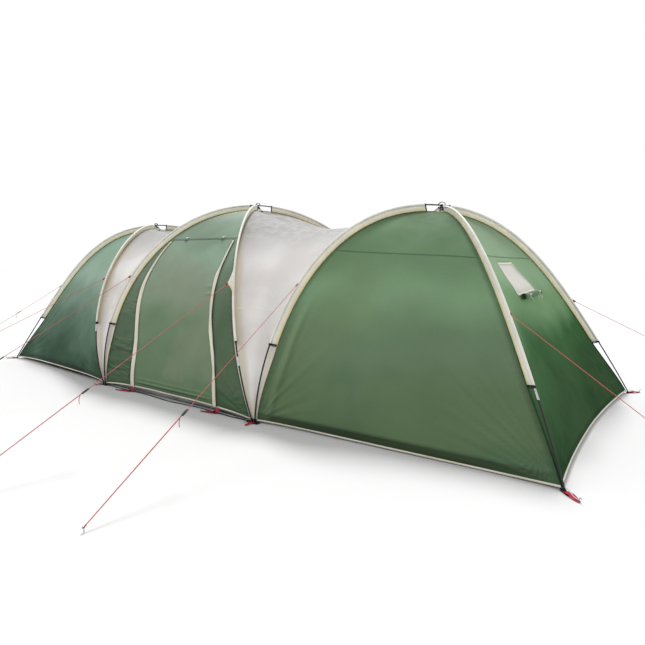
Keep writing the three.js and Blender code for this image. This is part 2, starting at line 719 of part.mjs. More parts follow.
// The webbing patch, pole socket and peg tongue at a corner of the tent.
function cornerAnchor(signX, signY) {
  const x = signX * HALF_LENGTH;
  const y = signY * END_HALF_WIDTH;
  const turn = Math.atan2(signY, signX);
  const outX = Math.cos(turn);
  const outY = Math.sin(turn);
  return fromManifold(join([
    boxAt(70, 46, ANCHOR_PLATE, x + 12 * outX, y + 12 * outY, turn),
    boxAt(60, 24, 2.6, x + 62 * outX, y + 62 * outY, turn),
    boss(x, y),
  ]));
}

for (const [nameX, signX] of [['left', -1], ['right', 1]]) {
  for (const [nameY, signY] of [['front', -1], ['rear', 1]]) {
    add(`${nameX}_${nameY}_corner_anchor`, cornerAnchor(signX, signY), cloth(BLACK));
  }
}

// The strap that ties the two shared feet of one side, with its patches and peg tongues.
function baseStrap(sign) {
  const y = sign * MID_HALF_WIDTH;
  const feet = [SHARED_LEFT, SHARED_RIGHT];
  const tongues = [-560, 630];
  const parts = [boxAt(SHARED_RIGHT - SHARED_LEFT, 25, 2.6, (SHARED_LEFT + SHARED_RIGHT) / 2, y)];
  for (const x of feet) {
    parts.push(boxAt(130, 44, ANCHOR_PLATE, x, y + sign * 8));
    parts.push(boss(x - FOOT_SPACING, y), boss(x + FOOT_SPACING, y));
    parts.push(boxAt(24, 60, 2.6, x, y + sign * 50));
  }
  for (const x of tongues) parts.push(boxAt(24, 60, 2.8, x, y + sign * 34));
  return fromManifold(join(parts));
}

add('front_base_strap', baseStrap(-1), cloth(BLACK));
add('rear_base_strap', baseStrap(1), cloth(BLACK));

function groundSheet() {
  const inset = 37;
  const corners = [
    [-HALF_LENGTH + 70, END_HALF_WIDTH - inset - 5],
    [SHARED_LEFT, MID_HALF_WIDTH - inset],
    [SHARED_RIGHT, MID_HALF_WIDTH - inset],
    [HALF_LENGTH - 70, END_HALF_WIDTH - inset - 5],
  ];
  const near = corners.map(([x, y]) => new THREE.Vector2(x, -y));
  const far = corners.slice().reverse().map(([x, y]) => new THREE.Vector2(x, y));
  return new THREE.ExtrudeGeometry(new THREE.Shape([...near, ...far]), { depth: 2, bevelEnabled: false });
}

add('ground_sheet', groundSheet(), cloth(GREY));

// ---------------------------------------------------------------- guy lines

function circle(radius, corners) {
  const at = (k) => 2 * Math.PI * k / corners;
  return Array.from({ length: corners }, (_, k) => (
    new THREE.Vector2(radius * Math.cos(at(k)), radius * Math.sin(at(k)))));
}

// Turns a solid made along +Z to run along a direction from a point.
function laidAlong(geometry, direction, point) {
  const turn = new THREE.Quaternion().setFromUnitVectors(new THREE.Vector3(0, 0, 1), direction);
  return geometry.applyQuaternion(turn).translate(point.x, point.y, point.z);
}

function ropeSolid({ start, end, direction }) {
  const from = start.clone().addScaledVector(direction, TAB_REACH + 0.4);
  const to = end.clone().addScaledVector(direction, -(PEG_RADIUS + ROPE_RADIUS + 0.6));
  return new THREE.ExtrudeGeometry(new THREE.Shape(circle(ROPE_RADIUS, 8)), {
    steps: 4,
    extrudePath: new THREE.LineCurve3(from, to),
  });
}

function sliderSolid({ start, end, direction }, share) {
  const plate = new THREE.Shape(outlineOf([[-9, -4.5], [9, -4.5], [9, 4.5], [-9, 4.5]]));
  plate.holes.push(new THREE.Path(circle(ROPE_RADIUS + 1, 8)));
  const geometry = new THREE.ExtrudeGeometry(plate, { depth: 56, bevelEnabled: false }).translate(0, 0, -28);
  return laidAlong(geometry, direction, start.clone().lerp(end, share));
}

function pegSolid({ end }) {
  const profile = [[0, 0], [PEG_RADIUS, 0], [PEG_RADIUS, 26], [5, 27.5], [5, 30], [0, 31]];
  return new THREE.LatheGeometry(profile.map(([r, z]) => new THREE.Vector2(r, z)), 8)
    .rotateX(Math.PI / 2)
    .translate(end.x, end.y, 0);
}

for (const { name, slider, ...leg } of GUYS) {
  const line = guyLine(leg);
  add(`guy_${name}`, ropeSolid(line), cloth(RED));
  add(`guy_slider_${name}`, sliderSolid(line, slider), cloth(BLACK));
  add(`peg_${name}`, pegSolid(line), new THREE.MeshStandardMaterial({
    color: 0x9a9da0, roughness: 0.35, metalness: 0.9,
  }));
}

export default tent;
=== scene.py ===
import json
import math

import bpy
import numpy as np
from mathutils import Matrix, Vector, noise


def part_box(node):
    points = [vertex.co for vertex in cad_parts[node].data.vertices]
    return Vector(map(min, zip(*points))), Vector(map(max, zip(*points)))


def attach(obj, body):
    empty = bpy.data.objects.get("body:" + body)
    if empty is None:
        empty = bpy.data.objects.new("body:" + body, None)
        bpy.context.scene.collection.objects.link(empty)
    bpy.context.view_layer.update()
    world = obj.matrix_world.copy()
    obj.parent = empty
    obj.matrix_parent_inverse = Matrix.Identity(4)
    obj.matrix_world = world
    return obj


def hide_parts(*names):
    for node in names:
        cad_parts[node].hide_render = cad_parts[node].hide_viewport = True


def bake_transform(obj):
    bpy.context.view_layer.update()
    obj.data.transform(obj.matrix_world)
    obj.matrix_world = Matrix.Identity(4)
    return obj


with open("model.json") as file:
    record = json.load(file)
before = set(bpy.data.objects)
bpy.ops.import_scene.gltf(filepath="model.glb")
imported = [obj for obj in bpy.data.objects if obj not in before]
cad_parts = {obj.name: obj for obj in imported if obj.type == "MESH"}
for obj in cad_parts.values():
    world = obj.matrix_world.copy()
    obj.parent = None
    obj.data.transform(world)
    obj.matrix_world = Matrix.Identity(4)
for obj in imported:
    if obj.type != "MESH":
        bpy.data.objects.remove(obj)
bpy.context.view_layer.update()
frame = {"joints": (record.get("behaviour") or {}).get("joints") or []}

# A three-dome family tent, pitched. Metres, +Z up, as in the frame: +X runs along the tent
# towards the vented right end, and -Y is the door side.

# ---------------------------------------------------------------- driving dimensions

HALF_LENGTH = 3.3
END_HALF_WIDTH = 1.36
MID_HALF_WIDTH = 1.489
SHARED_LEFT = -1.018
SHARED_RIGHT = 1.081
FOOT_SPACING = 0.016

POLE_RADIUS = 0.0063
POLE_FOOT = 0.012
CROSSING_DROP = 0.0125
ARCH_TOP = 1.74
FIN = 0.058
FIN_FOOT = 0.016
TUNNEL_RADIUS = 0.009
HEM_FOOT = 0.018
LOOP_HEIGHT = 0.022
PEG_RADIUS = 0.0025
ROPE_RADIUS = 0.002
CLOTH = 0.0012

UP = np.array([0.0, 0.0, 1.0])

OTHER = {"left": "right", "right": "left"}
POLE_SIDE = {"falling": "left", "rising": "right"}
LEG_WORD = {False: "near", True: "far"}


def foot(x, width, bow_x, bow_y, sleeve_foot, near_top, far_top):
    """A pair of pole feet: place, how far their legs bow, the height at which their sleeves
    start, and the shares of the near and of the far leg at which they stop."""
    return {"x": x, "width": width, "bow_x": bow_x, "bow_y": bow_y, "sleeve_foot": sleeve_foot,
            "sleeve_top": {False: near_top, True: far_top}}


DOMES = {
    "left": {
        "left": foot(-HALF_LENGTH, END_HALF_WIDTH, 0.073, 0.209, 0.525, 0.94, 0.95),
        "right": foot(SHARED_LEFT - FOOT_SPACING, MID_HALF_WIDTH, -0.08, -0.096, 0.63, 0.965, 0.93),
        "height": 1.737,
        "lean": 0.074,
    },
    "middle": {
        "left": foot(SHARED_LEFT + FOOT_SPACING, MID_HALF_WIDTH, -0.01, -0.014, 0.623, 0.955, 0.95),
        "right": foot(SHARED_RIGHT - FOOT_SPACING, MID_HALF_WIDTH, -0.065, -0.056, 0.612, 0.965,
                      0.915),
        "height": 1.876,
        "lean": -0.297,
    },
    "right": {
        "left": foot(SHARED_RIGHT + FOOT_SPACING, MID_HALF_WIDTH, 0.053, 0.035, 0.606, 0.915, 0.95),
        "right": foot(HALF_LENGTH, END_HALF_WIDTH, -0.111, 0.193, 0.51, 0.965, 0.955),
        "height": 1.742,
        "lean": -0.312,
    },
}


def guy(name, dome, side, far, height, peg, slider, reach=0.036, spread=0.05):
    """A guy line: its leg and the height of its tab, its peg, its slider's share of the way,
    and how far its tab reaches out and up the sleeve."""
    return {"name": name, "dome": DOMES[dome], "side": side, "far": far, "height": height,
            "peg": peg, "slider": slider, "reach": reach, "spread": spread}


GUYS = [
    guy("left_end_front", "left", "left", False, 0.940, (-3.95, -1.93), 0.38),
    guy("left_inner_front", "left", "right", False, 1.083, (-2.235, -3.05), 0.62),
    guy("middle_left_front", "middle", "left", False, 1.105, (-1.095, -3.1), 0.646),
    guy("middle_right_front", "middle", "right", False, 1.108, (0.77, -3.45), 0.63,
        0.108, 0.155),
    guy("right_inner_front", "right", "left", False, 1.075, (1.615, -3.15), 0.66),
    guy("right_end_front", "right", "right", False, 0.924, (4.36, -1.521), 0.7, 0.02),
    guy("right_end_rear", "right", "right", True, 0.905, (4.45, 1.607), 0.6),
]
# The other rear legs carry the same tabs, for guy lines that aren't fitted.
SPARE_TABS = [
    {**line, "name": line["name"].replace("front", "rear"), "far": True,
     "peg": (line["peg"][0], -line["peg"][1])}
    for line in GUYS[:5]
]

# ---------------------------------------------------------------- poles, legs and seams


def unit(v):
    """A vector, or each one of an array, at length 1."""
    return v / np.linalg.norm(v, axis=-1, keepdims=True)


def smooth(x):
    """A share from 0 to 1 that starts and ends softly."""
    k = np.clip(x, 0, 1)
    return k * k * (3 - 2 * k)


def arch_point(dome, side, far, share):
    """A point of a pole, from one foot of a dome at 0 to the one diagonally opposite at 1."""
    own, other = dome[side], dome[OTHER[side]]
    share = np.asarray(share, float)
    near_half = share <= 0.5
    drop = CROSSING_DROP if (side == "right") != far else 0.0
    rise = (1 - np.abs(2 * share - 1) ** 2) ** (1 / ARCH_TOP)
    bow = 4 * rise * (1 - rise)
    bow_x = np.where(near_half, own["bow_x"], other["bow_x"])
    bow_y = np.where(near_half, own["bow_y"], -other["bow_y"])
    x = own["x"] + (other["x"] - own["x"]) * share + dome["lean"] * rise + bow_x * bow
    y = -own["width"] + (own["width"] + other["width"]) * share + bow_y * bow
    z = POLE_FOOT + (dome["height"] - drop - POLE_FOOT) * rise
    return np.stack([x, -y if far else y, z], axis=-1)


def crossing(dome, side):
    """The share of a pole, from its foot on that side, at which it meets the other one."""
    return dome[side]["width"] / (dome[side]["width"] + dome[OTHER[side]]["width"])


def leg_point(dome, side, far, along):
    """A leg runs from its foot, at 0, to the crown, at 1."""
    return arch_point(dome, side, far, np.asarray(along, float) * crossing(dome, side))


def along_at(dome, side, height):
    """Where along a leg its pole is at a height."""
    rise = np.clip((np.asarray(height, float) - POLE_FOOT) / (dome["height"] - POLE_FOOT), 0, 1)
    return (1 - np.sqrt(1 - rise ** ARCH_TOP)) / 2 / crossing(dome, side)


def inward(dome, point):
    """The direction into the dome, which is where the canopy hangs from its poles."""
    centre = (dome["left"]["x"] + dome["right"]["x"]) / 2 + 0.6 * dome["lean"]
    half = (dome["right"]["x"] - dome["left"]["x"]) / 2
    return unit(np.stack([
        (centre - point[..., 0]) / half ** 2,
        -point[..., 1] / 1.45 ** 2,
        -point[..., 2] / dome["height"] ** 2,
    ], axis=-1))


def fin_height(side, far, along, height):
    """How far the canopy's seam hangs inside its pole. It is narrow at the foot."""
    drop = CROSSING_DROP * np.clip(along, 0, 1) if (side == "right") != far else 0.0
    return FIN_FOOT + (FIN - FIN_FOOT) * smooth(height / 0.56) - drop


def seam_point(dome, side, far, along):
    """The seam where the canopy panels meet under a leg."""
    point = leg_point(dome, side, far, along)
    height = fin_height(side, far, np.asarray(along, float), point[..., 2])
    return point + inward(dome, point) * height[..., None]


def guy_line(line):
    """Where a guy line leaves its pole, where it meets its peg, and its direction."""
    along = along_at(line["dome"], line["side"], line["height"])
    start = leg_point(line["dome"], line["side"], line["far"], along)
    end = np.array([*line["peg"], LOOP_HEIGHT])
    return along, start, end, unit(end - start)


# ---------------------------------------------------------------- camera

CAMERA_PLACE = (3.847, -4.308, 1.236)
CAMERA_AZIMUTH = math.radians(-36.65)
CAMERA_PITCH = math.radians(-6.55)
CAMERA_ROLL = math.radians(0.13)
CAMERA_LENS = 28.845


def linked(name, data):
    """A new object in the scene."""
    made = bpy.data.objects.new(name, data)
    bpy.context.scene.collection.objects.link(made)
    return made


def add_camera():
    """The photograph's view. The camera is level but for a very small roll."""
    camera = linked("camera", bpy.data.cameras.new("camera"))
    camera.data.lens = CAMERA_LENS
    camera.data.sensor_width = 36
    forward = Vector((
        math.sin(CAMERA_AZIMUTH) * math.cos(CAMERA_PITCH),
        math.cos(CAMERA_AZIMUTH) * math.cos(CAMERA_PITCH),
        math.sin(CAMERA_PITCH),
    ))
    level = Vector((math.cos(CAMERA_AZIMUTH), -math.sin(CAMERA_AZIMUTH), 0))
    upright = level.cross(forward)
    right = math.cos(CAMERA_ROLL) * level + math.sin(CAMERA_ROLL) * upright
    up = math.cos(CAMERA_ROLL) * upright - math.sin(CAMERA_ROLL) * level
    turn = Matrix((right, up, -forward)).transposed().to_4x4()
    camera.matrix_world = Matrix.Translation(CAMERA_PLACE) @ turn
    bpy.context.scene.camera = camera


add_camera()

# ---------------------------------------------------------------- materials


class Look:
    """A material under construction. node() makes a node and sets or links its inputs."""

    def __init__(self, name):
        self.material = bpy.data.materials.new(name)
        self.material.use_nodes = True
        self.tree = self.material.node_tree
        self.tree.nodes.clear()
        self.output = self.tree.nodes.new("ShaderNodeOutputMaterial")

    def node(self, kind, inputs, **settings):
        made = self.tree.nodes.new("ShaderNode" + kind)
        for key, value in settings.items():
            setattr(made, key, value)
        for key, value in inputs.items():
            if isinstance(value, bpy.types.NodeSocket):
                self.tree.links.new(value, made.inputs[key])
            else:
                made.inputs[key].default_value = value
        return made

    def place(self, scale=(1, 1, 1)):
        """The piece's own place at rest, in metres, stretched by scale."""
        rest = self.node("TexCoord", {}).outputs["Object"]
        return self.node("Mapping", {"Vector": rest, "Scale": scale}).outputs[0]

    def cloth_place(self):
        """Metres along and across the cloth."""
        return self.node("UVMap", {}, uv_map="cloth").outputs[0]

    def part(self, vector, axis):
        return self.node("SeparateXYZ", {0: vector}).outputs[axis]

    def speckle(self, vector, scale, detail=2.0, rough=0.5, twist=0.0):
        found = self.node("TexNoise", {"Vector": vector, "Scale": scale, "Detail": detail,
                                       "Roughness": rough, "Distortion": twist})
        return found.outputs["Fac"]

    def range(self, value, low, high, new_low=0.0, new_high=1.0):
        """Carries low and high over to the new values, and stops at both."""
        found = self.node("MapRange", {0: value, 1: low, 2: high, 3: new_low, 4: new_high},
                          interpolation_type="SMOOTHSTEP")
        return found.outputs[0]

    def maths(self, operation, a, b=0.0):
        return self.node("Math", {0: a, 1: b}, operation=operation).outputs[0]

    def mix(self, share, a, b, blend="MIX"):
        return self.node("Mix", {0: share, 6: a, 7: b}, data_type="RGBA",
                         blend_type=blend).outputs[2]

    def ramp(self, value, stops):
        found = self.node("ValToRGB", {0: value})
        found.color_ramp.interpolation = "EASE"
        points = found.color_ramp.elements
        while len(points) < len(stops):
            points.new(0.5)
        for point, (at, colour) in zip(points, stops):
            point.position = at
            point.color = colour
        return found.outputs[0]

    def bump(self, height, distance, strength=1.0, under=None):
        inputs = {"Height": height, "Distance": distance, "Strength": strength}
        if under is not None:
            inputs["Normal"] = under
        return self.node("Bump", inputs).outputs[0]

    def finish(self, colour, rough, normal=None, **more):
        inputs = {"Base Color": colour, "Roughness": rough}
        if normal is not None:
            inputs["Normal"] = normal
        inputs.update({key.replace("_", " "): value for key, value in more.items()})
        shader = self.node("BsdfPrincipled", inputs)
        self.tree.links.new(shader.outputs[0], self.output.inputs[0])
        return self.material


def rgb(r, g, b):
    """A colour given as it shows on a screen, from 0 to 255, as Blender's linear values."""
    def linear(c):
        c /= 255
        return c / 12.92 if c <= 0.04045 else ((c + 0.055) / 1.055) ** 2.4
    return (linear(r), linear(g), linear(b), 1.0)


def wave_scale(pitch):
    """The scale at which Blender's wave texture has one band in each pitch, in metres."""
    return 2 * math.pi / 20 / pitch


def weave(look, pitch):
    """The height of a plain weave of that pitch."""
    threads = {"Vector": look.cloth_place(), "Scale": wave_scale(pitch), "Distortion": 0.4,
               "Detail": 1.0, "Detail Scale": 2.0}
    warp, weft = (look.node("TexWave", threads, bands_direction=axis).outputs["Fac"]
                  for axis in ("X", "Y"))
    return look.maths("MAXIMUM", warp, weft)


def crinkled_normal(look, crinkle, pitch=0.0016, scale=16.0):
    """Cloth's normal: soft crinkles, small creases and the weave."""
    soft = look.speckle(look.place((1, 1, 1.5)), scale, 4.0, 0.55, 0.6)
    creases = look.speckle(look.place((1.3, 1.3, 0.7)), scale * 3.1, 2.0, 0.5, 1.2)
    normal = look.bump(soft, crinkle)
    normal = look.bump(creases, crinkle * 0.25, 1.0, normal)
    return look.bump(weave(look, pitch), 0.00012, 0.6, normal)


def measure(look, name):
    """A value that a panel's points carry: their distance from a seam, or the painted light and
    shade of their fold.
    """
    return look.node("Attribute", {}, attribute_name=name).outputs["Fac"]


def lit_folds(look, colour, gain):
    """Painted light and shade: lightens the sides of folds that the light comes through, and
    darkens the others.
    """
    turned = measure(look, "fold")
    light = look.maths("ADD", look.maths("MULTIPLY", turned, gain), 1.0)
    return look.mix(1.0, colour, light, "MULTIPLY")


def canopy_look(name, stops, olive, tint, crinkle=0.0013, shine=0.25, gain=1.7, rough=0.53):
    """Coated polyester: a tone that follows the height, with olive patches in it. The tone by
    height is painted light and shade.
    """
    look = Look(name)
    place = look.place()
    height = look.range(look.part(place, 2), 0.0, 1.85)
    wander = look.speckle(place, 1.5, 2.0)
    lifted = look.maths("ADD", height, look.range(wander, 0.2, 0.8, -0.08, 0.08))
    # Painted light and shade: the stops paint the cloth lighter where light comes through it and
    # darker where it lies in shade.
    colour = look.ramp(lifted, stops)
    cloudy = look.speckle(look.place((1, 1, 1.6)), 1.05, 3.0, 0.5, 0.5)
    colour = look.mix(look.range(cloudy, 0.42, 0.66, 0.0, tint), colour, olive)
    # Painted shade along the seams, where the sleeves shade the panel and the cloth lies doubled.
    doubled = look.range(measure(look, "edge"), 0.008, 0.055, 0.4, 0.0)
    colour = look.mix(doubled, colour, (0.02, 0.035, 0.018, 1))
    colour = lit_folds(look, colour, gain)
    threads = look.speckle(place, 140.0, 2.0, 0.7)
    colour = look.mix(look.range(threads, 0.3, 0.7, 0.0, 0.08), colour, (0.0, 0.0, 0.0, 1))
    dull = look.range(look.speckle(place, 9.0, 3.0), 0.3, 0.7, rough - 0.07, rough + 0.07)
    return look.finish(colour, dull, crinkled_normal(look, crinkle),
                       Specular_IOR_Level=shine, Sheen_Weight=0.02, Sheen_Roughness=0.4)


def plain_cloth_look(name, low, high, pitch, crinkle, rough=0.62, edge_tint=None):
    """Light cloth whose tone wanders between two colours. edge_tint warms it at its seams; with it
    the cloth also gets painted shade towards its top and painted light and shade on its folds.
    """
    look = Look(name)
    place = look.place()
    colour = look.mix(look.range(look.speckle(place, 3.0, 4.0), 0.3, 0.7), low, high)
    if edge_tint is not None:
        wide = look.range(look.speckle(place, 2.3), 0.3, 0.7, -0.02, 0.03)
        edge = look.maths("ADD", measure(look, "edge"), wide)
        colour = look.mix(look.range(edge, 0.05, 0.1, 0.5, 0.0), colour, edge_tint)
        # Painted shade: the saddle cloth is painted greyer towards its top, and its folds get
        # painted light and shade.
        height = look.range(look.part(place, 2), 1.15, 1.62, 0.0, 0.95)
        colour = look.mix(height, colour, rgb(136, 135, 133))
        colour = lit_folds(look, colour, 0.8)
    threads = look.range(look.speckle(place, 170.0, 2.0, 0.7), 0.35, 0.7, 0.0, 0.06)
    colour = look.mix(threads, colour, (0.12, 0.11, 0.09, 1))
    normal = crinkled_normal(look, crinkle, pitch)
    dull = look.range(look.speckle(place, 12.0), 0.3, 0.7, rough - 0.07, rough + 0.07)
    return look.finish(colour, dull, normal, Specular_IOR_Level=0.3, Sheen_Weight=0.15)


def sleeve_look():
    """Cream pole sleeves: warmer near the root, which is painted light coming through the cloth,
    with a stitched line under the tunnel.
    """
    look = Look("sleeve_cream")
    across = look.part(look.cloth_place(), 1)
    # Painted light: the warmer tone near the root stands for light coming through the cloth.
    warm = look.range(across, 0.004, 0.038, 1.0, 0.0)
    colour = look.mix(warm, rgb(232, 229, 220), rgb(222, 209, 156))
    blotch = look.range(look.speckle(look.place(), 7.0, 4.0), 0.35, 0.7, 0.0, 0.3)
    colour = look.mix(blotch, colour, rgb(190, 185, 170))
    seam = look.maths("ABSOLUTE", look.maths("SUBTRACT", across, 0.044))
    line = look.range(seam, 0.0006, 0.0016, 1.0, 0.0)
    along = look.part(look.cloth_place(), 0)
    dashes = look.maths("PINGPONG", along, 0.002)
    stitches = look.maths("MULTIPLY", line, look.range(dashes, 0.0004, 0.0012))
    colour = look.mix(look.maths("MULTIPLY", stitches, 0.6), colour, rgb(150, 140, 110))
    normal = crinkled_normal(look, 0.0018, 0.0014, 22.0)
    normal = look.bump(look.range(seam, 0.0, 0.003), 0.0008, 0.8, normal)
    return look.finish(colour, 0.6, normal, Specular_IOR_Level=0.3, Sheen_Weight=0.15)


RIB_PITCH = 0.0016


def webbing_look(name, colour, worn):
    """Woven tape: ribs across it and a paler, rubbed tone in places."""
    look = Look(name)
    place = look.cloth_place()
    ribs = look.node("TexWave", {"Vector": place, "Scale": wave_scale(RIB_PITCH),
                                 "Distortion": 0.3}, bands_direction="X").outputs["Fac"]
    rubbed = look.range(look.speckle(look.place(), 60.0, 3.0), 0.45, 0.7, 0.0, 0.5)
    tone = look.mix(rubbed, colour, worn)
    tone = look.mix(look.maths("MULTIPLY", ribs, 0.18), tone, (0.0, 0.0, 0.0, 1))
    normal = look.bump(ribs, 0.0003, 0.8)
    return look.finish(tone, 0.7, normal, Specular_IOR_Level=0.25)


def rope_look():
    """Braided cord: crossing strands in two close reds."""
    look = Look("guy_rope_red")
    strands = look.node("TexWave", {"Vector": look.place((1.0, 1.0, 1.6)), "Scale": 90.0,
                                    "Distortion": 1.0}, bands_direction="DIAGONAL").outputs["Fac"]
    colour = look.mix(look.range(strands, 0.2, 0.8), rgb(170, 62, 68), rgb(206, 108, 106))
    return look.finish(colour, 0.6, look.bump(strands, 0.0006, 0.8), Specular_IOR_Level=0.3)


def hard_look(name, colour, second, rough, metal=0.0, scale=30.0):
    """Plastic, glass fibre or metal, with fine scuffs."""
    look = Look(name)
    scuffs = look.speckle(look.place((1, 1, 0.3)), scale, 5.0, 0.65)
    tone = look.mix(look.range(scuffs, 0.45, 0.75), colour, second)
    dull = look.range(scuffs, 0.3, 0.8, rough * 0.8, min(rough * 1.3, 1.0))
    return look.finish(tone, dull, look.bump(scuffs, 0.0002, 0.5), Metallic=metal)


def mesh_look():
    """The vent's fly mesh: a light net with rows of holes that are darker."""
    look = Look("vent_mesh_light")
    place = look.cloth_place()
    cells = {"Vector": place, "Scale": 260.0, "Randomness": 0.15}
    holes = look.node("TexVoronoi", cells).outputs[0]
    open_share = look.range(holes, 0.0012, 0.0019, 0.45, 0.0)
    colour = look.mix(open_share, rgb(210, 208, 200), rgb(120, 122, 112))
    soft = look.range(look.speckle(look.place(), 5.0, 3.0), 0.35, 0.7, 0.0, 0.35)
    colour = look.mix(soft, colour, rgb(196, 192, 184))
    return look.finish(colour, 0.7, look.bump(holes, 0.0005, 0.6), Specular_IOR_Level=0.2)


def zip_look():
    """A zip: close teeth across a black tape."""
    look = Look("zip_black")
    along = look.part(look.cloth_place(), 0)
    teeth = look.range(look.maths("PINGPONG", along, 0.0011), 0.0003, 0.0009)
    tone = look.mix(teeth, rgb(20, 20, 22), rgb(58, 58, 60))
    return look.finish(tone, 0.45, look.bump(teeth, 0.0006, 1.0))


def ground_look():
    """Woven polyethylene ground sheet, grey."""
    look = Look("ground_sheet_grey")
    place = look.place()
    colour = look.mix(look.range(look.speckle(place, 4.0, 5.0), 0.3, 0.7), rgb(126, 127, 126),
                      rgb(158, 159, 158))
    normal = look.bump(look.speckle(place, 14.0, 4.0, 0.6, 0.8), 0.003)
    normal = look.bump(weave(look, 0.003), 0.0003, 0.6, normal)
    return look.finish(colour, 0.5, normal, Specular_IOR_Level=0.4)


# Each cloth's stops paint light and shade by height: lighter where light comes through the cloth,
# darker where it lies in shade.
GREEN = canopy_look("canopy_green", [
    (0.0, rgb(82, 106, 78)),
    (0.3, rgb(103, 126, 98)),
    (0.6, rgb(120, 151, 116)),
    (0.82, rgb(102, 132, 98)),
    (1.0, rgb(70, 94, 70)),
], rgb(110, 130, 88), 0.3, 0.0008, 0.1, rough=0.8)
LEFT_GREEN = canopy_look("left_green", [
    (0.0, rgb(48, 76, 56)),
    (0.2, rgb(78, 107, 87)),
    (0.4, rgb(112, 138, 120)),
    (0.62, rgb(140, 165, 147)),
    (0.86, rgb(128, 156, 136)),
    (1.0, rgb(104, 132, 112)),
], rgb(112, 140, 120), 0.3, 0.001, 0.12, rough=0.75)
DOOR_GREEN = canopy_look("door_green", [
    (0.0, rgb(92, 118, 86)),
    (0.3, rgb(98, 124, 93)),
    (0.55, rgb(128, 148, 122)),
    (0.78, rgb(134, 161, 138)),
    (1.0, rgb(104, 126, 105)),
], rgb(128, 136, 114), 0.5)
STRIP_GREEN = canopy_look("strip_green", [
    (0.0, rgb(60, 88, 57)),
    (0.3, rgb(62, 90, 62)),
    (0.55, rgb(92, 114, 89)),
    (0.8, rgb(118, 142, 120)),
    (1.0, rgb(120, 141, 120)),
], rgb(100, 112, 86), 0.4)
# The end walls' cloth: its low stops are painted shade, as the lower part of each end wall lies in
# shade.
END_SHADED_GREEN = canopy_look("end_green_painted_shade", [
    (0.0, rgb(26, 62, 29)),
    (0.25, rgb(52, 94, 52)),
    (0.5, rgb(116, 152, 110)),
    (0.7, rgb(142, 172, 137)),
    (1.0, rgb(132, 152, 128)),
], rgb(84, 116, 74), 0.2, 0.0003, 0.02, 1.0, 0.75)
PALE = plain_cloth_look("saddle_grey", rgb(214, 209, 206), rgb(228, 226, 224), 0.0016, 0.0003,
                        0.75, edge_tint=rgb(206, 192, 166))
SLEEVE = sleeve_look()
BINDING = plain_cloth_look("binding_cream", rgb(214, 209, 190), rgb(232, 228, 214), 0.0012, 0.0006)
FLAP = plain_cloth_look("door_flap_cream", rgb(204, 199, 178), rgb(226, 221, 203), 0.0014, 0.0012)
BLACK_WEB = webbing_look("webbing_black", rgb(26, 26, 28), rgb(54, 54, 56))
RED_WEB = webbing_look("webbing_red", rgb(176, 26, 48), rgb(206, 60, 76))
WHITE_WEB = webbing_look("elastic_white", rgb(206, 200, 204), rgb(230, 226, 228))
ROPE = rope_look()
POLE = hard_look("pole_black", rgb(16, 18, 19), rgb(34, 36, 36), 0.5)
FERRULE = hard_look("ferrule_steel", rgb(206, 208, 210), rgb(160, 162, 164), 0.3, 1.0, 120.0)
PLASTIC = hard_look("plastic_black", rgb(22, 22, 24), rgb(46, 46, 48), 0.42, scale=90.0)
STEEL = hard_look("peg_steel", rgb(170, 172, 174), rgb(120, 122, 124), 0.35, 1.0, 200.0)
MESH = mesh_look()
ZIP = zip_look()
GROUND = ground_look()
TOGGLE = hard_look("toggle_ivory", rgb(224, 222, 212), rgb(196, 192, 180), 0.4, scale=90.0)

# ---------------------------------------------------------------- surfaces

# A surface is its points, its faces, and each point's place on the cloth in metres.


def facing_out(points, quads):
    """Turns the faces of a closed surface outwards."""
    corners = (points - points.mean(0))[quads]
    a, b, c, d = (corners[:, k] for k in range(4))
    volume = (a * np.cross(b, c)).sum() + (a * np.cross(c, d)).sum()
    return quads if volume > 0 else quads[:, ::-1]


def lengths(path):
    """The distance of each point of a path from its first."""
    return np.concatenate([[0], np.cumsum(np.linalg.norm(np.diff(path, axis=0), axis=1))])


def shell(outer, inner, cloth_place, solid=None):
    """A sheet between two grids of points. Cells where solid is false are left out."""
    columns, rows = outer.shape[:2]
    if solid is None:
        solid = np.ones((columns - 1, rows - 1), bool)
    index = np.arange(columns * rows).reshape(columns, rows)
    layer = columns * rows
    a, b = index[:-1, :-1][solid], index[1:, :-1][solid]
    c, d = index[1:, 1:][solid], index[:-1, 1:][solid]
    quads = [np.stack([a, b, c, d], 1), np.stack([a, d, c, b], 1) + layer]
    padded = np.pad(solid, 1)
    for (di, dj), (start, stop) in {
        (0, -1): ((0, 0), (1, 0)), (1, 0): ((1, 0), (1, 1)),
        (0, 1): ((1, 1), (0, 1)), (-1, 0): ((0, 1), (0, 0)),
    }.items():
        beyond = padded[1 + di:padded.shape[0] - 1 + di, 1 + dj:padded.shape[1] - 1 + dj]
        i, j = np.nonzero(solid & ~beyond)
        p, q = index[i + start[0], j + start[1]], index[i + stop[0], j + stop[1]]
        quads.append(np.stack([q, p, p + layer, q + layer], 1))
    quads = np.concatenate(quads)
    points = np.concatenate([outer.reshape(-1, 3), inner.reshape(-1, 3)])
    place = np.concatenate([cloth_place.reshape(-1, cloth_place.shape[-1])] * 2)
    used, quads = np.unique(quads, return_inverse=True)
    quads = quads.reshape(-1, 4)
    points = points[used]
    return points, facing_out(points, quads).tolist(), place[used]


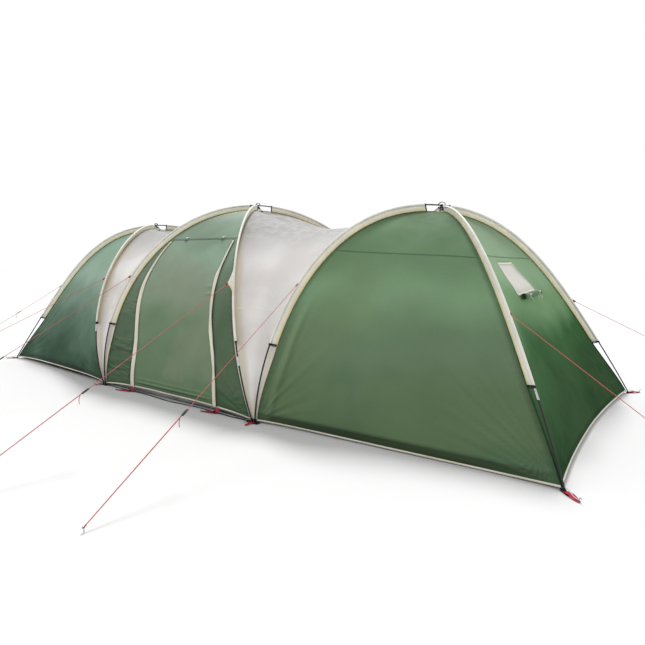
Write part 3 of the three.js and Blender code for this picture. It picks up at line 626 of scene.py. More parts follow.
def sweep(path, across, up, section):
    """A section, as rows of (across, up), carried along a path."""
    section = np.asarray(section, float)
    if section.ndim == 2:
        section = np.repeat(section[None], len(path), 0)
    rings = (path[:, None] + across[:, None] * section[..., :1] + up[:, None] * section[..., 1:])
    count, sides = section.shape[:2]
    index = np.arange(count * sides).reshape(count, sides)
    turned = np.roll(index, -1, 1)
    quads = np.stack([index[:-1], turned[:-1], turned[1:], index[1:]], -1).reshape(-1, 4)
    points = rings.reshape(-1, 3)
    out = facing_out(points, quads)
    caps = [index[0].tolist(), index[-1].tolist()[::-1]]
    if out is quads:
        caps = [cap[::-1] for cap in caps]
    round_it = np.concatenate([np.zeros((count, 1)), np.cumsum(
        np.linalg.norm(np.diff(rings, axis=1), axis=2), axis=1)], 1)
    place = np.stack([np.repeat(lengths(path)[:, None], sides, 1), round_it], -1)
    return points, out.tolist() + caps, place.reshape(-1, 2)


def frames(path):
    """Two directions across a path at each of its points, which don't twist along it."""
    tangents = unit(np.gradient(path, axis=0))
    side = np.cross(tangents[0], UP)
    if np.linalg.norm(side) < 1e-4:
        side = np.cross(tangents[0], (1.0, 0.0, 0.0))
    sides = []
    for tangent in tangents:
        side = side - tangent * side.dot(tangent)
        side = side / np.linalg.norm(side)
        sides.append(side)
    sides = np.array(sides)
    return sides, np.cross(sides, tangents)


def round_section(radius, sides):
    """The outline of a round bar."""
    turn = 2 * np.pi * np.arange(sides) / sides
    return np.stack([radius * np.cos(turn), radius * np.sin(turn)], 1)


def block_section(width, height, power):
    """The outline of a block with soft corners. The lower the power, the squarer they are."""
    turn = 2 * np.pi * (np.arange(16) + 0.5) / 16
    return np.stack([size / 2 * np.sign(way) * np.abs(way) ** power
                     for size, way in [(width, np.cos(turn)), (height, np.sin(turn))]], 1)


def tube(path, radius, sides):
    """A round bar along a path."""
    path = np.asarray(path, float)
    across, up = frames(path)
    return sweep(path, across, up, round_section(radius, sides))


def tape_section(width, thick):
    """A flat tape with soft edges, lying on the line it follows."""
    half = width / 2
    return [(-half, 0), (half, 0), (half, thick * 0.5), (half * 0.86, thick),
            (0, thick * 1.1), (-half * 0.86, thick), (-half, thick * 0.5)]


def tape(path, up, width, thick):
    """A tape along a path, whose flat side faces up, one direction or one for each point.
    width may change along it."""
    path = np.asarray(path, float)
    tangents = unit(np.gradient(path, axis=0))
    across = unit(np.cross(tangents, up))
    widths = np.broadcast_to(width, len(path))
    sections = np.array([tape_section(w, thick) for w in widths])
    return sweep(path, across, np.cross(across, tangents), sections)


def curve_through(points, count):
    """A smooth path through a few points, by Catmull-Rom."""
    points = np.asarray(points, float)
    ends = np.concatenate([[2 * points[0] - points[1]], points, [2 * points[-1] - points[-2]]])
    t = np.linspace(0, len(points) - 1, count)
    k = np.minimum(t.astype(int), len(points) - 2)
    f = (t - k)[:, None]
    a, b, c, d = ends[k], ends[k + 1], ends[k + 2], ends[k + 3]
    return 0.5 * (2 * b + (c - a) * f + (2 * a - 5 * b + 4 * c - d) * f ** 2
                  + (3 * b - a - 3 * c + d) * f ** 3)


def joined(surfaces):
    """Several surfaces as one."""
    points, faces, places, count = [], [], [], 0
    for part_points, part_faces, part_places in surfaces:
        points.append(part_points)
        places.append(part_places)
        faces.extend([[i + count for i in face] for face in part_faces])
        count += len(part_points)
    return np.concatenate(points), faces, np.concatenate(places)


def piece(name, surface, material, body="tent", stands_for=()):
    """Makes a surface into a named piece that rides on a body. The panels' places have two
    more columns: the distance from the seams and the fold, which carries painted light and shade."""
    points, faces, places = surface
    mesh = bpy.data.meshes.new(name)
    mesh.from_pydata(points.tolist(), [], faces)
    mesh.polygons.foreach_set("use_smooth", np.ones(len(faces), bool))
    layer = mesh.uv_layers.new(name="cloth")
    corner = np.zeros(len(mesh.loops), np.int32)
    mesh.loops.foreach_get("vertex_index", corner)
    layer.data.foreach_set("uv", places[corner, :2].astype(np.float32).ravel())
    if places.shape[1] == 4:
        for k, word in [(2, "edge"), (3, "fold")]:
            attribute = mesh.attributes.new(word, "FLOAT", "POINT")
            attribute.data.foreach_set("value", places[:, k].astype(np.float32))
    mesh.materials.append(material)
    made = linked(name, mesh)
    if body is not None:
        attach(made, body)
    if stands_for:
        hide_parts(*stands_for)
    return made


# ---------------------------------------------------------------- guy lines

ROPE_POINTS = 16


def rope_curve(name, points):
    """A guy rope as a curve with a round bevel."""
    curve = bpy.data.curves.new(name, "CURVE")
    curve.dimensions = "3D"
    curve.bevel_depth = ROPE_RADIUS
    curve.bevel_resolution = 3
    curve.use_fill_caps = True
    spline = curve.splines.new("POLY")
    spline.points.add(len(points) - 1)
    for spot, place in zip(spline.points, points):
        spot.co = (*place, 1)
    curve.materials.append(ROPE)
    return linked(name, curve)


def knot(centre, direction, size):
    """A small overhand knot: a tube along a trefoil."""
    turn = np.linspace(0, 2 * np.pi, 37)[:-1]
    turn = np.append(turn, turn[0] + 2 * np.pi - 0.02)
    loop = np.stack([np.sin(turn) + 2 * np.sin(2 * turn), np.cos(turn) - 2 * np.cos(2 * turn),
                     -np.sin(3 * turn)], 1) * size / 3
    along = unit(np.asarray(direction, float))
    side = unit(np.cross(along, (0.3, 0.2, 1.0)))
    other = np.cross(along, side)
    path = centre + loop[:, :1] * side + loop[:, 1:2] * other + loop[:, 2:] * along
    return tube(path, ROPE_RADIUS * 0.75, 6)


def slider_surface(centre, direction):
    """A moulded three-hole runner, with the rope through it lengthways."""
    along = np.linspace(-0.028, 0.028, 25)
    share = np.abs(along) / 0.028
    girth = np.where(share > 0.8, 1 - 0.45 * ((share - 0.8) / 0.2) ** 2, 1.0)
    girth -= 0.16 * np.exp(-((share - 0.5) / 0.1) ** 2)
    path = centre + direction * along[:, None]
    across, up = frames(path)
    return sweep(path, across, up, block_section(0.0176, 0.0088, 0.5) * girth[:, None, None])


def peg_surface(place, away):
    """A bent wire peg: the straight stem comes out of the ground and hooks over."""
    turn = np.linspace(0, 1.15 * np.pi, 14)
    hook = 0.0048
    stem = [(0, 0), (0, 0.008), (0, 0.016), (0, 0.0225)]
    bend = [(hook - hook * math.cos(t), 0.0225 + hook * math.sin(t)) for t in turn[1:]]
    flat = np.array([*away[:2], 0.0])
    path = np.array([place + flat * x + (0, 0, z) for x, z in stem + bend])
    return tube(path, PEG_RADIUS * 0.9, 8)


def add_guy(line):
    """A guy line: its rope, runner, loop at the peg, doubled part, tail and peg."""
    name = line["name"]
    body = "rope_slider_" + name
    _, start, end, direction = guy_line(line)
    exit_point = start + direction * (line["reach"] + 0.0004)
    last = end - direction * (PEG_RADIUS + ROPE_RADIUS + 0.0006)
    share = np.linspace(0, 1, ROPE_POINTS)[:, None]
    rope = rope_curve("guy_rope_" + name, exit_point + (last - exit_point) * share)
    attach(rope, "tent")
    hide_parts("guy_" + name)

    sideways = unit(np.cross(direction, UP))
    slider_place = start + (end - start) * line["slider"]
    slider = piece("guy_runner_" + name, slider_surface(slider_place, direction), PLASTIC,
                   body, ["guy_slider_" + name])

    turn = np.linspace(0, 2 * np.pi, 25)[:-1]
    ring = np.stack([0.0052 * np.cos(turn), 0.0052 * np.sin(turn), 0.001 * np.sin(turn)], 1)
    tied = joined([
        tube(end + np.append(ring, ring[:1] + 0.0001, 0), ROPE_RADIUS * 0.9, 8),
        knot(last - direction * 0.006, direction, 0.0046),
        knot(exit_point + direction * 0.004, direction, 0.005),
    ])
    loop = piece("guy_loop_" + name, tied, ROPE)

    offset = sideways * 0.0042
    strand_start = end - direction * 0.006
    strand_path = (strand_start + offset * 0.6
                   + (slider_place + offset * 0.6 - strand_start)
                   * np.linspace(0, 1, 30)[:, None])
    strand = piece("guy_return_" + name, tube(strand_path, ROPE_RADIUS * 0.85, 8), ROPE,
                   None)
    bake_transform(strand)

    tail_top = slider_place + direction * 0.026 + offset
    tail = curve_through([
        tail_top - direction * 0.02,
        tail_top,
        *(tail_top + direction * ahead + offset - UP * fall
          for ahead, fall in [(0.012, 0.008), (0.02, 0.03), (0.018, 0.058)]),
    ], 20)
    tail_piece = piece("guy_tail_" + name, tube(tail, ROPE_RADIUS, 8), RED_WEB, body)

    peg = piece("ground_peg_" + name, peg_surface(np.array([*line["peg"], 0.0]), direction), STEEL,
                "tent", ["peg_" + name])


for line in GUYS:
    add_guy(line)

# ---------------------------------------------------------------- canopy cloth

TOP_CLIMB = 0.995
STANDARD_ROWS = 96


def along_of(climb):
    """A climb of even steps from the ground, 0, to the crown, 1, as a place along a leg."""
    return 1 - np.cos(np.pi / 2 * np.clip(climb, 0, 1))


def climb_at(dome, side, height):
    """The climb at which a leg's pole is at a height."""
    return np.arccos(1 - along_at(dome, side, height)) * 2 / np.pi


def hollow_middle(climb):
    """How hollow a wall is on its way up: most half way."""
    return np.sin(np.pi * np.clip(climb, 0, 1)) ** 0.7


def hollow_hem(climb):
    """How hollow a wall is on its way up: most at the hem."""
    return 1 - np.clip(climb, 0, 1) ** 4


def wall_between(dome, first, second, hem_rise, sag, profile=hollow_middle):
    """A wall between two legs, each given as its side and whether it is behind. sag is how
    hollow the wall is, and hem_rise is how far its hem lifts off the ground."""
    return {"dome": dome, "first": first, "second": second, "hem_rise": hem_rise, "sag": sag,
            "profile": profile}


def wall_point(wall, across, climb):
    """A point of a wall between two legs, from the first leg at 0 to the second at 1."""
    along = along_of(climb)
    first = seam_point(wall["dome"], *wall["first"], along)
    second = seam_point(wall["dome"], *wall["second"], along)
    point = first + (second - first) * across[..., None]
    hollow = wall["sag"] * 4 * across * (1 - across) * wall["profile"](climb)
    return point + inward(wall["dome"], point) * hollow[..., None]


def hem_climb(wall, across):
    """The climb at which a wall's hem is, at each share across it."""
    height = HEM_FOOT + wall["hem_rise"] * (1 - (2 * across - 1) ** 4)
    return climb_at(wall["dome"], wall["first"][0], height)


def inside_of(dome):
    """A point inside a dome."""
    return np.array([(dome["left"]["x"] + dome["right"]["x"]) / 2 + dome["lean"] / 2, 0, 0.5])


def normals_of(grid, inside):
    """Each grid point's direction out of the tent."""
    normal = np.cross(np.gradient(grid, axis=0), np.gradient(grid, axis=1))
    normal = unit(normal + 1e-12)
    away = ((inside - grid) * normal).sum(-1, keepdims=True) > 0
    return np.where(away, -normal, normal)


def roughness(points, scale, shift):
    """Smooth noise at each point, from -1 to 1, the same each run."""
    flat = points.reshape(-1, 3) / scale + shift
    return np.array([noise.noise(Vector(p)) for p in flat]).reshape(points.shape[:-1])


def fan(grid, column, strength, reach, count, phase):
    """Folds that radiate from a panel's foot, as the pull of the peg draws them."""
    corner = grid[column, 0]
    hem = unit(grid[-1 if column == 0 else 0, 0] - corner)
    seam = grid[column, grid.shape[1] // 4] - corner
    seam = unit(seam - hem * seam.dot(hem))
    offset = grid - corner
    x, y = offset @ hem, offset @ seam
    distance = np.sqrt(x * x + y * y) + 1e-9
    full = math.atan2(*(grid[column, grid.shape[1] // 4] - corner) @ np.stack([seam, hem], 1))
    turn = np.clip(np.arctan2(y, x) / full, 0, 1.2)
    wave = 1 - 2 * np.abs(np.cos(np.pi * (count * turn + phase + 0.1 * distance))) ** 0.8
    wave += 0.5 * np.cos(2 * np.pi * (1.63 * count * turn + 2.1 * phase + 0.3 * distance))
    length = reach * (0.45 + 0.75 * turn ** 2)
    swell = (distance / length) * np.exp(1 - distance / length)
    return strength * wave * swell * smooth((1.0 - turn) * 8) * smooth(turn * 6 + 0.3)


def creases(grid, lines, strength, width=0.016):
    """Short sharp folds, each given as its centre, its direction and its length."""
    total = np.zeros(grid.shape[:2])
    for centre, direction, length in lines:
        direction = unit(np.array(direction, float))
        offset = grid - np.array(centre)
        along = offset @ direction
        off_line = np.sqrt(np.maximum((offset ** 2).sum(-1) - along ** 2, 0))
        total += strength * np.exp(-(off_line / width) ** 2 - (2 * along / length) ** 4)
    return total


def ease(count, pull):
    """Steps from 0 to 1 that lie closer together at both ends."""
    even = np.linspace(0, 1, count)
    return even + pull * ((1 - np.cos(np.pi * even)) / 2 - even)


def cloth_places(grid):
    """Metres across and up the cloth, measured along its middle row and column."""
    columns, rows = grid.shape[:2]
    across = lengths(grid[:, rows // 3])
    up = lengths(grid[columns // 2])
    return np.stack(np.broadcast_arrays(across[:, None], up[None]), -1)


def seam_distance(grid):
    """How far each point is from the panel's two side seams."""
    def off(column):
        return np.linalg.norm(grid - grid[column][None], axis=-1)
    return np.minimum(off(0), off(-1))


# Painted light and shade on folds: a fold is painted lighter on the side that faces this way, by at
# most this much.
FOLD_LIGHT = np.array([-0.4, -0.25, 0.88])
FOLD_LIMIT = 0.4


def fold(grid, height, inside):
    """Raises a smooth grid by the height of its folds. Returns it with its new normals."""
    folded = grid + normals_of(grid, inside) * height[..., None]
    return folded, normals_of(folded, inside)


def finish_panel(name, grid, folded, outward, smooth_normals, material, stands_for,
                 solid=None, body="tent"):
    """A panel from its smooth grid and its folded one."""
    # Painted light and shade: how far each fold turns towards FOLD_LIGHT, which the materials paint
    # as lighter or darker.
    turned = np.clip((outward - smooth_normals) @ FOLD_LIGHT, -FOLD_LIMIT, FOLD_LIMIT)
    places = np.concatenate([cloth_places(grid), seam_distance(grid)[..., None],
                             turned[..., None]], -1)
    surface = shell(folded, folded - outward * CLOTH, places, solid)
    made = piece(name, surface, material, body, stands_for)


def pick(grid, normals, column, row):
    """The place and normal at fractional columns and rows of a grid."""
    column, row = np.broadcast_arrays(np.asarray(column, float), np.asarray(row, float))
    i = np.clip(column.astype(int), 0, grid.shape[0] - 2)
    j = np.clip(row.astype(int), 0, grid.shape[1] - 2)
    s, t = (column - i)[..., None], (row - j)[..., None]

    def blended(values):
        low = values[i, j] * (1 - s) + values[i + 1, j] * s
        high = values[i, j + 1] * (1 - s) + values[i + 1, j + 1] * s
        return low * (1 - t) + high * t
    return blended(grid), unit(blended(normals))


def row_at_height(grid, column, height):
    """The fractional row at which a column of a grid reaches a height."""
    column = int(round(column))
    return float(np.interp(height, grid[column, :, 2], np.arange(grid.shape[1])))


def felled_seam(name, grid, normals, left_height, right_height, material):
    """A flat seam across a panel, from one height at its first leg to another at its last."""
    columns = np.linspace(0.4, grid.shape[0] - 1.4, 90)
    share = columns / (grid.shape[0] - 1)
    heights = left_height + (right_height - left_height) * share
    rows = np.array([row_at_height(grid, c, h) for c, h in zip(columns, heights)])
    path, up = pick(grid, normals, columns, rows)
    piece(name, tape(path + up * 0.0002, up, 0.012, 0.0011), material)


HEM_TAPE_THICK = 0.0034


def hem_binding(name, grid, normals, height=0.01, first=0, last=None,
                body="tent"):
    """A folded tape round the lower edge of a panel, from its first column to its last."""
    last = grid.shape[0] - 1 if last is None else last
    edge, normal = grid[first:last + 1, 0], normals[first:last + 1, 0]
    up = unit(grid[first:last + 1, 2] - edge)
    out = unit(normal - up * (normal * up).sum(-1)[:, None])
    half = HEM_TAPE_THICK / 2
    section = [(-half, -0.002), (half, -0.002), (half, height), (half * 0.5, height + 0.0006),
               (-half * 0.5, height + 0.0006), (-half, height)]
    middle = edge - out * CLOTH / 2
    piece(name, sweep(middle, out, up, section), BINDING, body)


def hem_tuck(grid, reach, depth):
    """How far the cloth turns in near its hem, most in the middle of the panel."""
    share = np.linspace(0, 1, grid.shape[0])[:, None]
    near = np.clip(1 - above_hem(grid) / reach, 0, 1)
    return -depth * near ** 0.9 * (1 - (2 * share - 1) ** 4)


def above_hem(grid):
    """How far each point is from the panel's lower edge."""
    return np.linalg.norm(grid - grid[:, :1], axis=-1)


def ridge(distance, middle, width):
    """A soft ridge, 1 high, at a distance from an edge."""
    return np.exp(-((distance - middle) / width) ** 2)


def hem_lines(grid):
    """The ridges of the hem's two rows of stitching."""
    above = above_hem(grid)
    return 0.0016 * (ridge(above, 0.034, 0.006) + 0.7 * ridge(above, 0.055, 0.008))


def billow(grid, strength, shift):
    """Broad slack waves, still at the seams, with smaller ones over them."""
    calm = smooth(seam_distance(grid) / 0.25)
    broad = roughness(grid, np.array([0.55, 0.55, 0.8]), shift)
    small = roughness(grid, np.array([0.22, 0.22, 0.3]), shift + 7.3)
    return (strength * broad + 0.35 * strength * small) * calm


PUCKER_PITCH = 0.055


def seam_puckers(grid):
    """Small folds square to the side seams, where the thread draws the cloth up."""
    turn = 2 * np.pi * lengths(grid[0])[None] / PUCKER_PITCH
    wave = np.sin(turn) + 0.6 * np.sin(turn / 0.61 + 1.0)
    near = seam_distance(grid)
    return 0.0016 * wave * np.exp(-near / 0.045) * smooth(near / 0.008)


# Each plain panel's folded grid and normals.
PANELS = {}


def add_panel(name, wall, material, folds, columns=120, rows=STANDARD_ROWS,
              tuck=0.02, shift=0.0):
    """A plain panel, hem to crown. folds adds the heights of its own folds."""
    across = ease(columns, 0.7)[:, None]
    foot_climb = hem_climb(wall, across)
    climb = foot_climb + (TOP_CLIMB - foot_climb) * (np.linspace(0, 1, rows)[None] ** 1.25)
    across = np.broadcast_to(across, climb.shape)
    grid = wall_point(wall, across, climb)
    height = (billow(grid, 0.006, shift) + seam_puckers(grid) + hem_tuck(grid, 0.065, tuck)
              + hem_lines(grid) + folds(grid) * smooth(above_hem(grid) / 0.07))
    calm = smooth((1 - climb) / 0.05) * smooth(seam_distance(grid) / 0.006)
    folded, outward = fold(grid, height * calm, inside_of(wall["dome"]))
    smooth_normals = normals_of(grid, inside_of(wall["dome"]))
    finish_panel("cloth_" + name, grid, folded, outward, smooth_normals, material, [name])
    hem_binding("hem_" + name, folded, outward)
    PANELS[name] = (folded, outward)


def front_wall(dome, hem_rise, sag=0.02):
    return wall_between(DOMES[dome], ("left", False), ("right", False), hem_rise, sag)


def rear_wall(dome, hem_rise, sag=0.02):
    return wall_between(DOMES[dome], ("left", True), ("right", True), hem_rise, sag)


def right_front_folds(grid):
    """Fine folds from both feet, a long one beside the left seam and a few short creases."""
    beside = np.linalg.norm(grid - grid[:1], axis=-1)
    long_fold = ridge(beside, 0.13, 0.028) - 0.6 * ridge(beside, 0.07, 0.025)
    return (
        fan(grid, -1, 0.0024, 0.36, 9, 0.1)
        + fan(grid, 0, 0.0012, 0.3, 5, 0.4)
        + 0.006 * long_fold * smooth((1.05 - grid[..., 2]) / 0.35) * smooth(grid[..., 2] / 0.15)
        + creases(grid, [
            ((2.30, -1.37, 0.72), (0.9, 0.1, -0.32), 0.3),
            ((2.45, -1.37, 0.55), (0.9, 0.1, -0.3), 0.16),
            ((2.75, -1.35, 0.42), (0.95, 0.1, -0.25), 0.2),
            ((2.72, -1.35, 0.36), (0.95, 0.1, -0.3), 0.2),
            ((1.75, -1.42, 0.33), (0.9, 0.0, 0.25), 0.2),
        ], 0.0024, 0.012)
    )


def plain_folds(grid):
    """Folds from both feet."""
    return fan(grid, 0, 0.0028, 0.36, 7, 0.2) + fan(grid, -1, 0.0028, 0.36, 7, 0.65)


add_panel("right_front_panel", front_wall("right", 0.004), GREEN,
          right_front_folds, 150, 110, 0.03)
add_panel("right_rear_panel", rear_wall("right", 0.004), GREEN,
          plain_folds, shift=3.1)
add_panel("left_front_panel", front_wall("left", 0.028), LEFT_GREEN,
          plain_folds, shift=5.7)
add_panel("left_rear_panel", rear_wall("left", 0.028), GREEN,
          plain_folds, shift=9.2)
add_panel("middle_rear_panel", rear_wall("middle", 0.036, 0), GREEN,
          plain_folds, shift=12.8)

for panel_name, left_height, right_height in [
    ("right_front_panel", 1.345, 1.275),
    ("right_rear_panel", 1.345, 1.275),
    ("middle_rear_panel", 1.46, 1.46),
]:
    felled_seam("seam_across_" + panel_name, *PANELS[panel_name], left_height, right_height, GREEN)

# ---------------------------------------------------------------- front wall and door

DOOR_TOP = 1.465
WALL_LAG = 0.034
DOOR_LEFT = [(0, 0.212), (0.5, 0.215), (1.0, 0.122), (1.25, 0.092), (DOOR_TOP, 0.05)]
DOOR_RIGHT = [(0, 0.8), (0.4, 0.846), (0.8, 0.84), (1.1, 0.855), (1.3, 0.898), (DOOR_TOP, 0.945)]
DOOR_GAP = 0.003
DOOR_COLUMNS = (12, 62, 10)
DOOR_ROWS = 210
ABOVE_DOOR_ROWS = 40
MIDDLE = DOMES["middle"]
DOOR_WALL = front_wall("middle", 0.036, 0)


def zip_share(points, height):
    """A smooth line through a zip's points, as a share of the wall's width."""
    heights = np.array([p[0] for p in points], float)
    shares = np.array([p[1] for p in points], float)
    height = np.clip(height, 0, DOOR_TOP)
    k = np.clip(np.searchsorted(heights, height), 1, len(points) - 1)
    before, after = np.maximum(np.arange(len(points)) - 1, 0), np.minimum(
        np.arange(len(points)) + 1, len(points) - 1)
    slopes = (shares[after] - shares[before]) / (heights[after] - heights[before])
    span = heights[k] - heights[k - 1]
    t = (height - heights[k - 1]) / span
    rise = t * t * (3 - 2 * t)
    ends = (slopes[k - 1] * (t ** 3 - 2 * t ** 2 + t) + slopes[k] * (t ** 3 - t ** 2)) * span
    return shares[k - 1] + (shares[k] - shares[k - 1]) * rise + ends


DOOR_TOP_CLIMB = float(climb_at(MIDDLE, "left", DOOR_TOP + WALL_LAG))


def seam_height(climb):
    """The height of the wall's left seam at a climb."""
    return seam_point(MIDDLE, "left", False, along_of(climb))[..., 2]


def door_share(column, climb):
    """The share across the wall of a column of the wall's grid, which bends with the zips."""
    left = zip_share(DOOR_LEFT, seam_height(climb))
    right = zip_share(DOOR_RIGHT, seam_height(climb))
    a, b, c = DOOR_COLUMNS
    strip_left = left * column / a
    door = left + (right - left) * (column - a) / b
    strip_right = right + (1 - right) * (column - a - b) / c
    return np.where(column <= a, strip_left, np.where(column <= a + b, door, strip_right))


def door_grid(columns, rows, top):
    """Points of the wall at fractional columns, from the hem up to a climb."""
    column = np.asarray(columns, float)[:, None]
    foot_climb = hem_climb(DOOR_WALL, door_share(column, np.full_like(column, 0.05)))
    share = np.linspace(0, 1, rows)[None]
    climb = foot_climb + (top - foot_climb) * share
    return wall_point(DOOR_WALL, door_share(np.broadcast_to(column, climb.shape), climb), climb)


def strip_wrinkles(grid):
    """Close, short, nearly level wrinkles in the narrow strip left of the door."""
    leaning = grid + (grid[..., :1] - grid[:1, :, :1]) * (0, 0, 0.12)
    sharp = 1 - 2 * np.abs(roughness(leaning, np.array([0.2, 0.2, 0.021]), 31.0)) ** 0.7
    loose = roughness(leaning, np.array([0.3, 0.3, 0.034]), 12.0)
    strip = smooth((zip_line_x(DOOR_LEFT, grid) - grid[..., 0]) / 0.03)
    band = smooth((grid[..., 2] - 0.08) / 0.12) * smooth((0.98 - grid[..., 2]) / 0.2)
    groups = smooth(0.55 + 1.5 * roughness(grid, np.array([2.0, 2.0, 0.1]), 4.0))
    return (0.009 * sharp + 0.01 * loose) * strip * band * groups


def zip_line_x(points, grid):
    """The x of a zip at each point's height."""
    heights = np.linspace(0, 1.0, 60)
    climb = heights * (DOOR_TOP_CLIMB - 0.01) + 0.01
    line = wall_point(DOOR_WALL, zip_share(points, seam_height(climb)), climb)
    return np.interp(grid[..., 2], line[:, 2], line[:, 0])


def door_folds(grid):
    """The fold lines above the door's hem and the faint wrinkles near the right zip."""
    above = above_hem(grid)
    ridges = ridge(above, 0.05, 0.008) + 0.6 * ridge(above, 0.085, 0.012)
    share = np.linspace(0, 1, grid.shape[0])[:, None]
    return 0.0035 * ridges * smooth(share * 6) * smooth((1 - share) * 6) + creases(grid, [
        ((0.33, -1.21, 1.03), (1, 0, -0.05), 0.24),
        ((0.36, -1.24, 0.97), (1, 0, 0.06), 0.2),
        ((0.30, -1.22, 0.93), (1, 0, 0.03), 0.26),
    ], 0.0035)


def add_front_wall():
    """The cloth beside and above the door, in three panels."""
    a, b, c = DOOR_COLUMNS
    columns = np.arange(a + b + c + 1)
    lower = door_grid(columns, DOOR_ROWS + 1, DOOR_TOP_CLIMB)
    climb = np.linspace(DOOR_TOP_CLIMB, TOP_CLIMB, ABOVE_DOOR_ROWS + 1)[None, 1:]
    climb = np.repeat(climb, len(columns), 0)
    upper = wall_point(DOOR_WALL, door_share(columns[:, None], climb), climb)
    grid = np.concatenate([lower, upper], 1)
    height = (strip_wrinkles(grid) + billow(grid, 0.003, 2.2) + 0.6 * seam_puckers(grid)
              + 0.5 * fan(grid, -1, 0.004, 0.34, 5, 0.3) + hem_lines(grid))
    smooth_normals = normals_of(grid, inside_of(MIDDLE))
    folded, outward = fold(grid, height * smooth(seam_distance(grid) / 0.006), inside_of(MIDDLE))
    for word, part in [
        ("above_door", np.s_[:, DOOR_ROWS:]),
        ("left_strip", np.s_[:a + 1, :DOOR_ROWS + 1]),
        ("right_strip", np.s_[a + b:, :DOOR_ROWS + 1]),
    ]:
        stands_for = ["middle_front_wall"] if word == "above_door" else []
        finish_panel("cloth_front_" + word, grid[part], folded[part], outward[part],
                     smooth_normals[part], DOOR_GREEN if stands_for else STRIP_GREEN, stands_for)
    hem_binding("hem_middle_front_left", folded, outward, first=0, last=a)
    hem_binding("hem_middle_front_right", folded, outward, first=a + b, last=a + b + c)
    return folded, outward


def add_door():
    """The door's cloth, just inside its two zips."""
    a, b, _ = DOOR_COLUMNS
    inset = DOOR_GAP / 1.15 * b
    columns = np.linspace(a + inset, a + b - inset, 90)
    grid = door_grid(columns, DOOR_ROWS + 6, DOOR_TOP_CLIMB - 0.0022)
    calm = smooth((DOOR_TOP - grid[..., 2]) / 0.05)
    calm = calm * smooth(seam_distance(grid) / 0.02)
    height = (billow(grid, 0.006, 4.4) + door_folds(grid)) * calm + hem_tuck(grid, 0.05, 0.008)
    folded, outward = fold(grid, height, inside_of(MIDDLE))
    finish_panel("cloth_door", grid, folded, outward, normals_of(grid, inside_of(MIDDLE)),
                 DOOR_GREEN, ["door_panel"], body="door")
    hem_binding("hem_door", folded, outward, body="door")


WALL_GRID, WALL_NORMALS = add_front_wall()
add_door()


ZIP_TOP = DOOR_TOP + WALL_LAG - 0.02
FLAP_TOP_WIDTH = 0.024


def zip_path(points):
    """Places up a zip, with the directions along the wall and out of it."""
    top = float(climb_at(MIDDLE, "left", ZIP_TOP))
    base = zip_share(points, np.array(0.02))
    start = float(hem_climb(DOOR_WALL, base))
    climb = np.linspace(start, top, 90)
    share = zip_share(points, seam_height(climb))
    path = wall_point(DOOR_WALL, share, climb)
    beside = wall_point(DOOR_WALL, share + 0.01, climb)
    along_wall = unit(beside - path)
    out = unit(np.cross(np.gradient(path, axis=0), along_wall))
    out = np.where(out[:, 1:2] > 0, -out, out)
    return path, along_wall, out


def door_flap(name, points, sign, width, wave):
    """The storm flap over a zip. It is sewn to the door's edge and lies on the door."""
    path, along_wall, out = zip_path(points)
    height = path[:, 2]
    taper = smooth((DOOR_TOP - height) / 0.6)
    reach = FLAP_TOP_WIDTH + (width - FLAP_TOP_WIDTH) * taper
    ripple = np.sin(height * 13.0) + 0.6 * np.sin(height * 29.0 + 1.0)
    ripple = wave * ripple * smooth(height / 0.1)
    outer = sign * 0.0045
    across = np.linspace(0, 1, 9)
    columns = []
    for share in across:
        side = outer - sign * share * reach
        lift = 0.0055 + 0.005 * math.sin(math.pi * share) + ripple * share
        columns.append(path + along_wall * (side + 0.5 * ripple)[:, None] + out * lift[:, None])
    grid = np.stack(columns)
    normal = np.repeat(out[None], len(across), 0)
    made = piece(name, shell(grid, grid - normal * 0.0016, cloth_places(grid)), FLAP,
                 "door")


def zip_tape(name, points, sign):
    """The zip's teeth and tape, on the wall beside the door."""
    path, along_wall, out = zip_path(points)
    middle = path + along_wall * sign * 0.0062 + out * 0.0008
    piece(name, tape(middle, out, 0.0075, 0.0018), ZIP)


door_flap("door_flap_left", DOOR_LEFT, -1, 0.058, 0.0012)
door_flap("door_flap_right", DOOR_RIGHT, 1, 0.036, 0.005)
zip_tape("door_zip_left", DOOR_LEFT, -1)
zip_tape("door_zip_right", DOOR_RIGHT, 1)


def box_surface(centre, axes, sizes, soften=0.25):
    """A block with softened edges: a rounded outline carried through, drawn in at its ends."""
    x, y, z = (np.asarray(axis, float) for axis in axes)
    outline = block_section(*sizes[:2], 2 * soften + 0.02)
    along = np.array([-0.5, -0.47, -0.4, 0.0, 0.4, 0.47, 0.5])
    girth = np.array([0.72, 0.92, 1, 1, 1, 0.92, 0.72])
    path = np.asarray(centre) + z * (along * sizes[2])[:, None]
    return sweep(path, np.repeat(x[None], 7, 0), np.repeat(y[None], 7, 0),
                 outline * girth[:, None, None])


def zip_slider(name, node, body):
    """A slider and its hanging puller, where the frame has them."""
    low, high = (np.array(corner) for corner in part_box(node))
    joint = next(j for j in frame["joints"] if j["child"] == body)
    up = unit(np.array(joint["axis"], float))
    out = np.array([0.0, -1.0, 0.0])
    out = unit(out - up * out.dot(up))
    side = np.cross(up, out)
    middle = (low + high) / 2
    top = middle + up * 0.016
    path = curve_through([
        top + out * 0.004, top + out * 0.0055 - up * 0.012, top + out * 0.005 - up * 0.03,
        top + out * 0.004 - up * 0.044], 14)
    widths = np.concatenate([np.linspace(0.004, 0.006, 5), np.linspace(0.006, 0.0075, 9)])
    piece(name, joined([
        box_surface(top + out * 0.0005, (side, out, up), (0.0105, 0.0055, 0.0155)),
        tape(path, out, widths, 0.0016),
    ]), PLASTIC, body, [node])


for word in ("left", "right"):
    zip_slider("zip_slider_body_" + word, "door_zip_slider_" + word, "zip_slider_" + word)


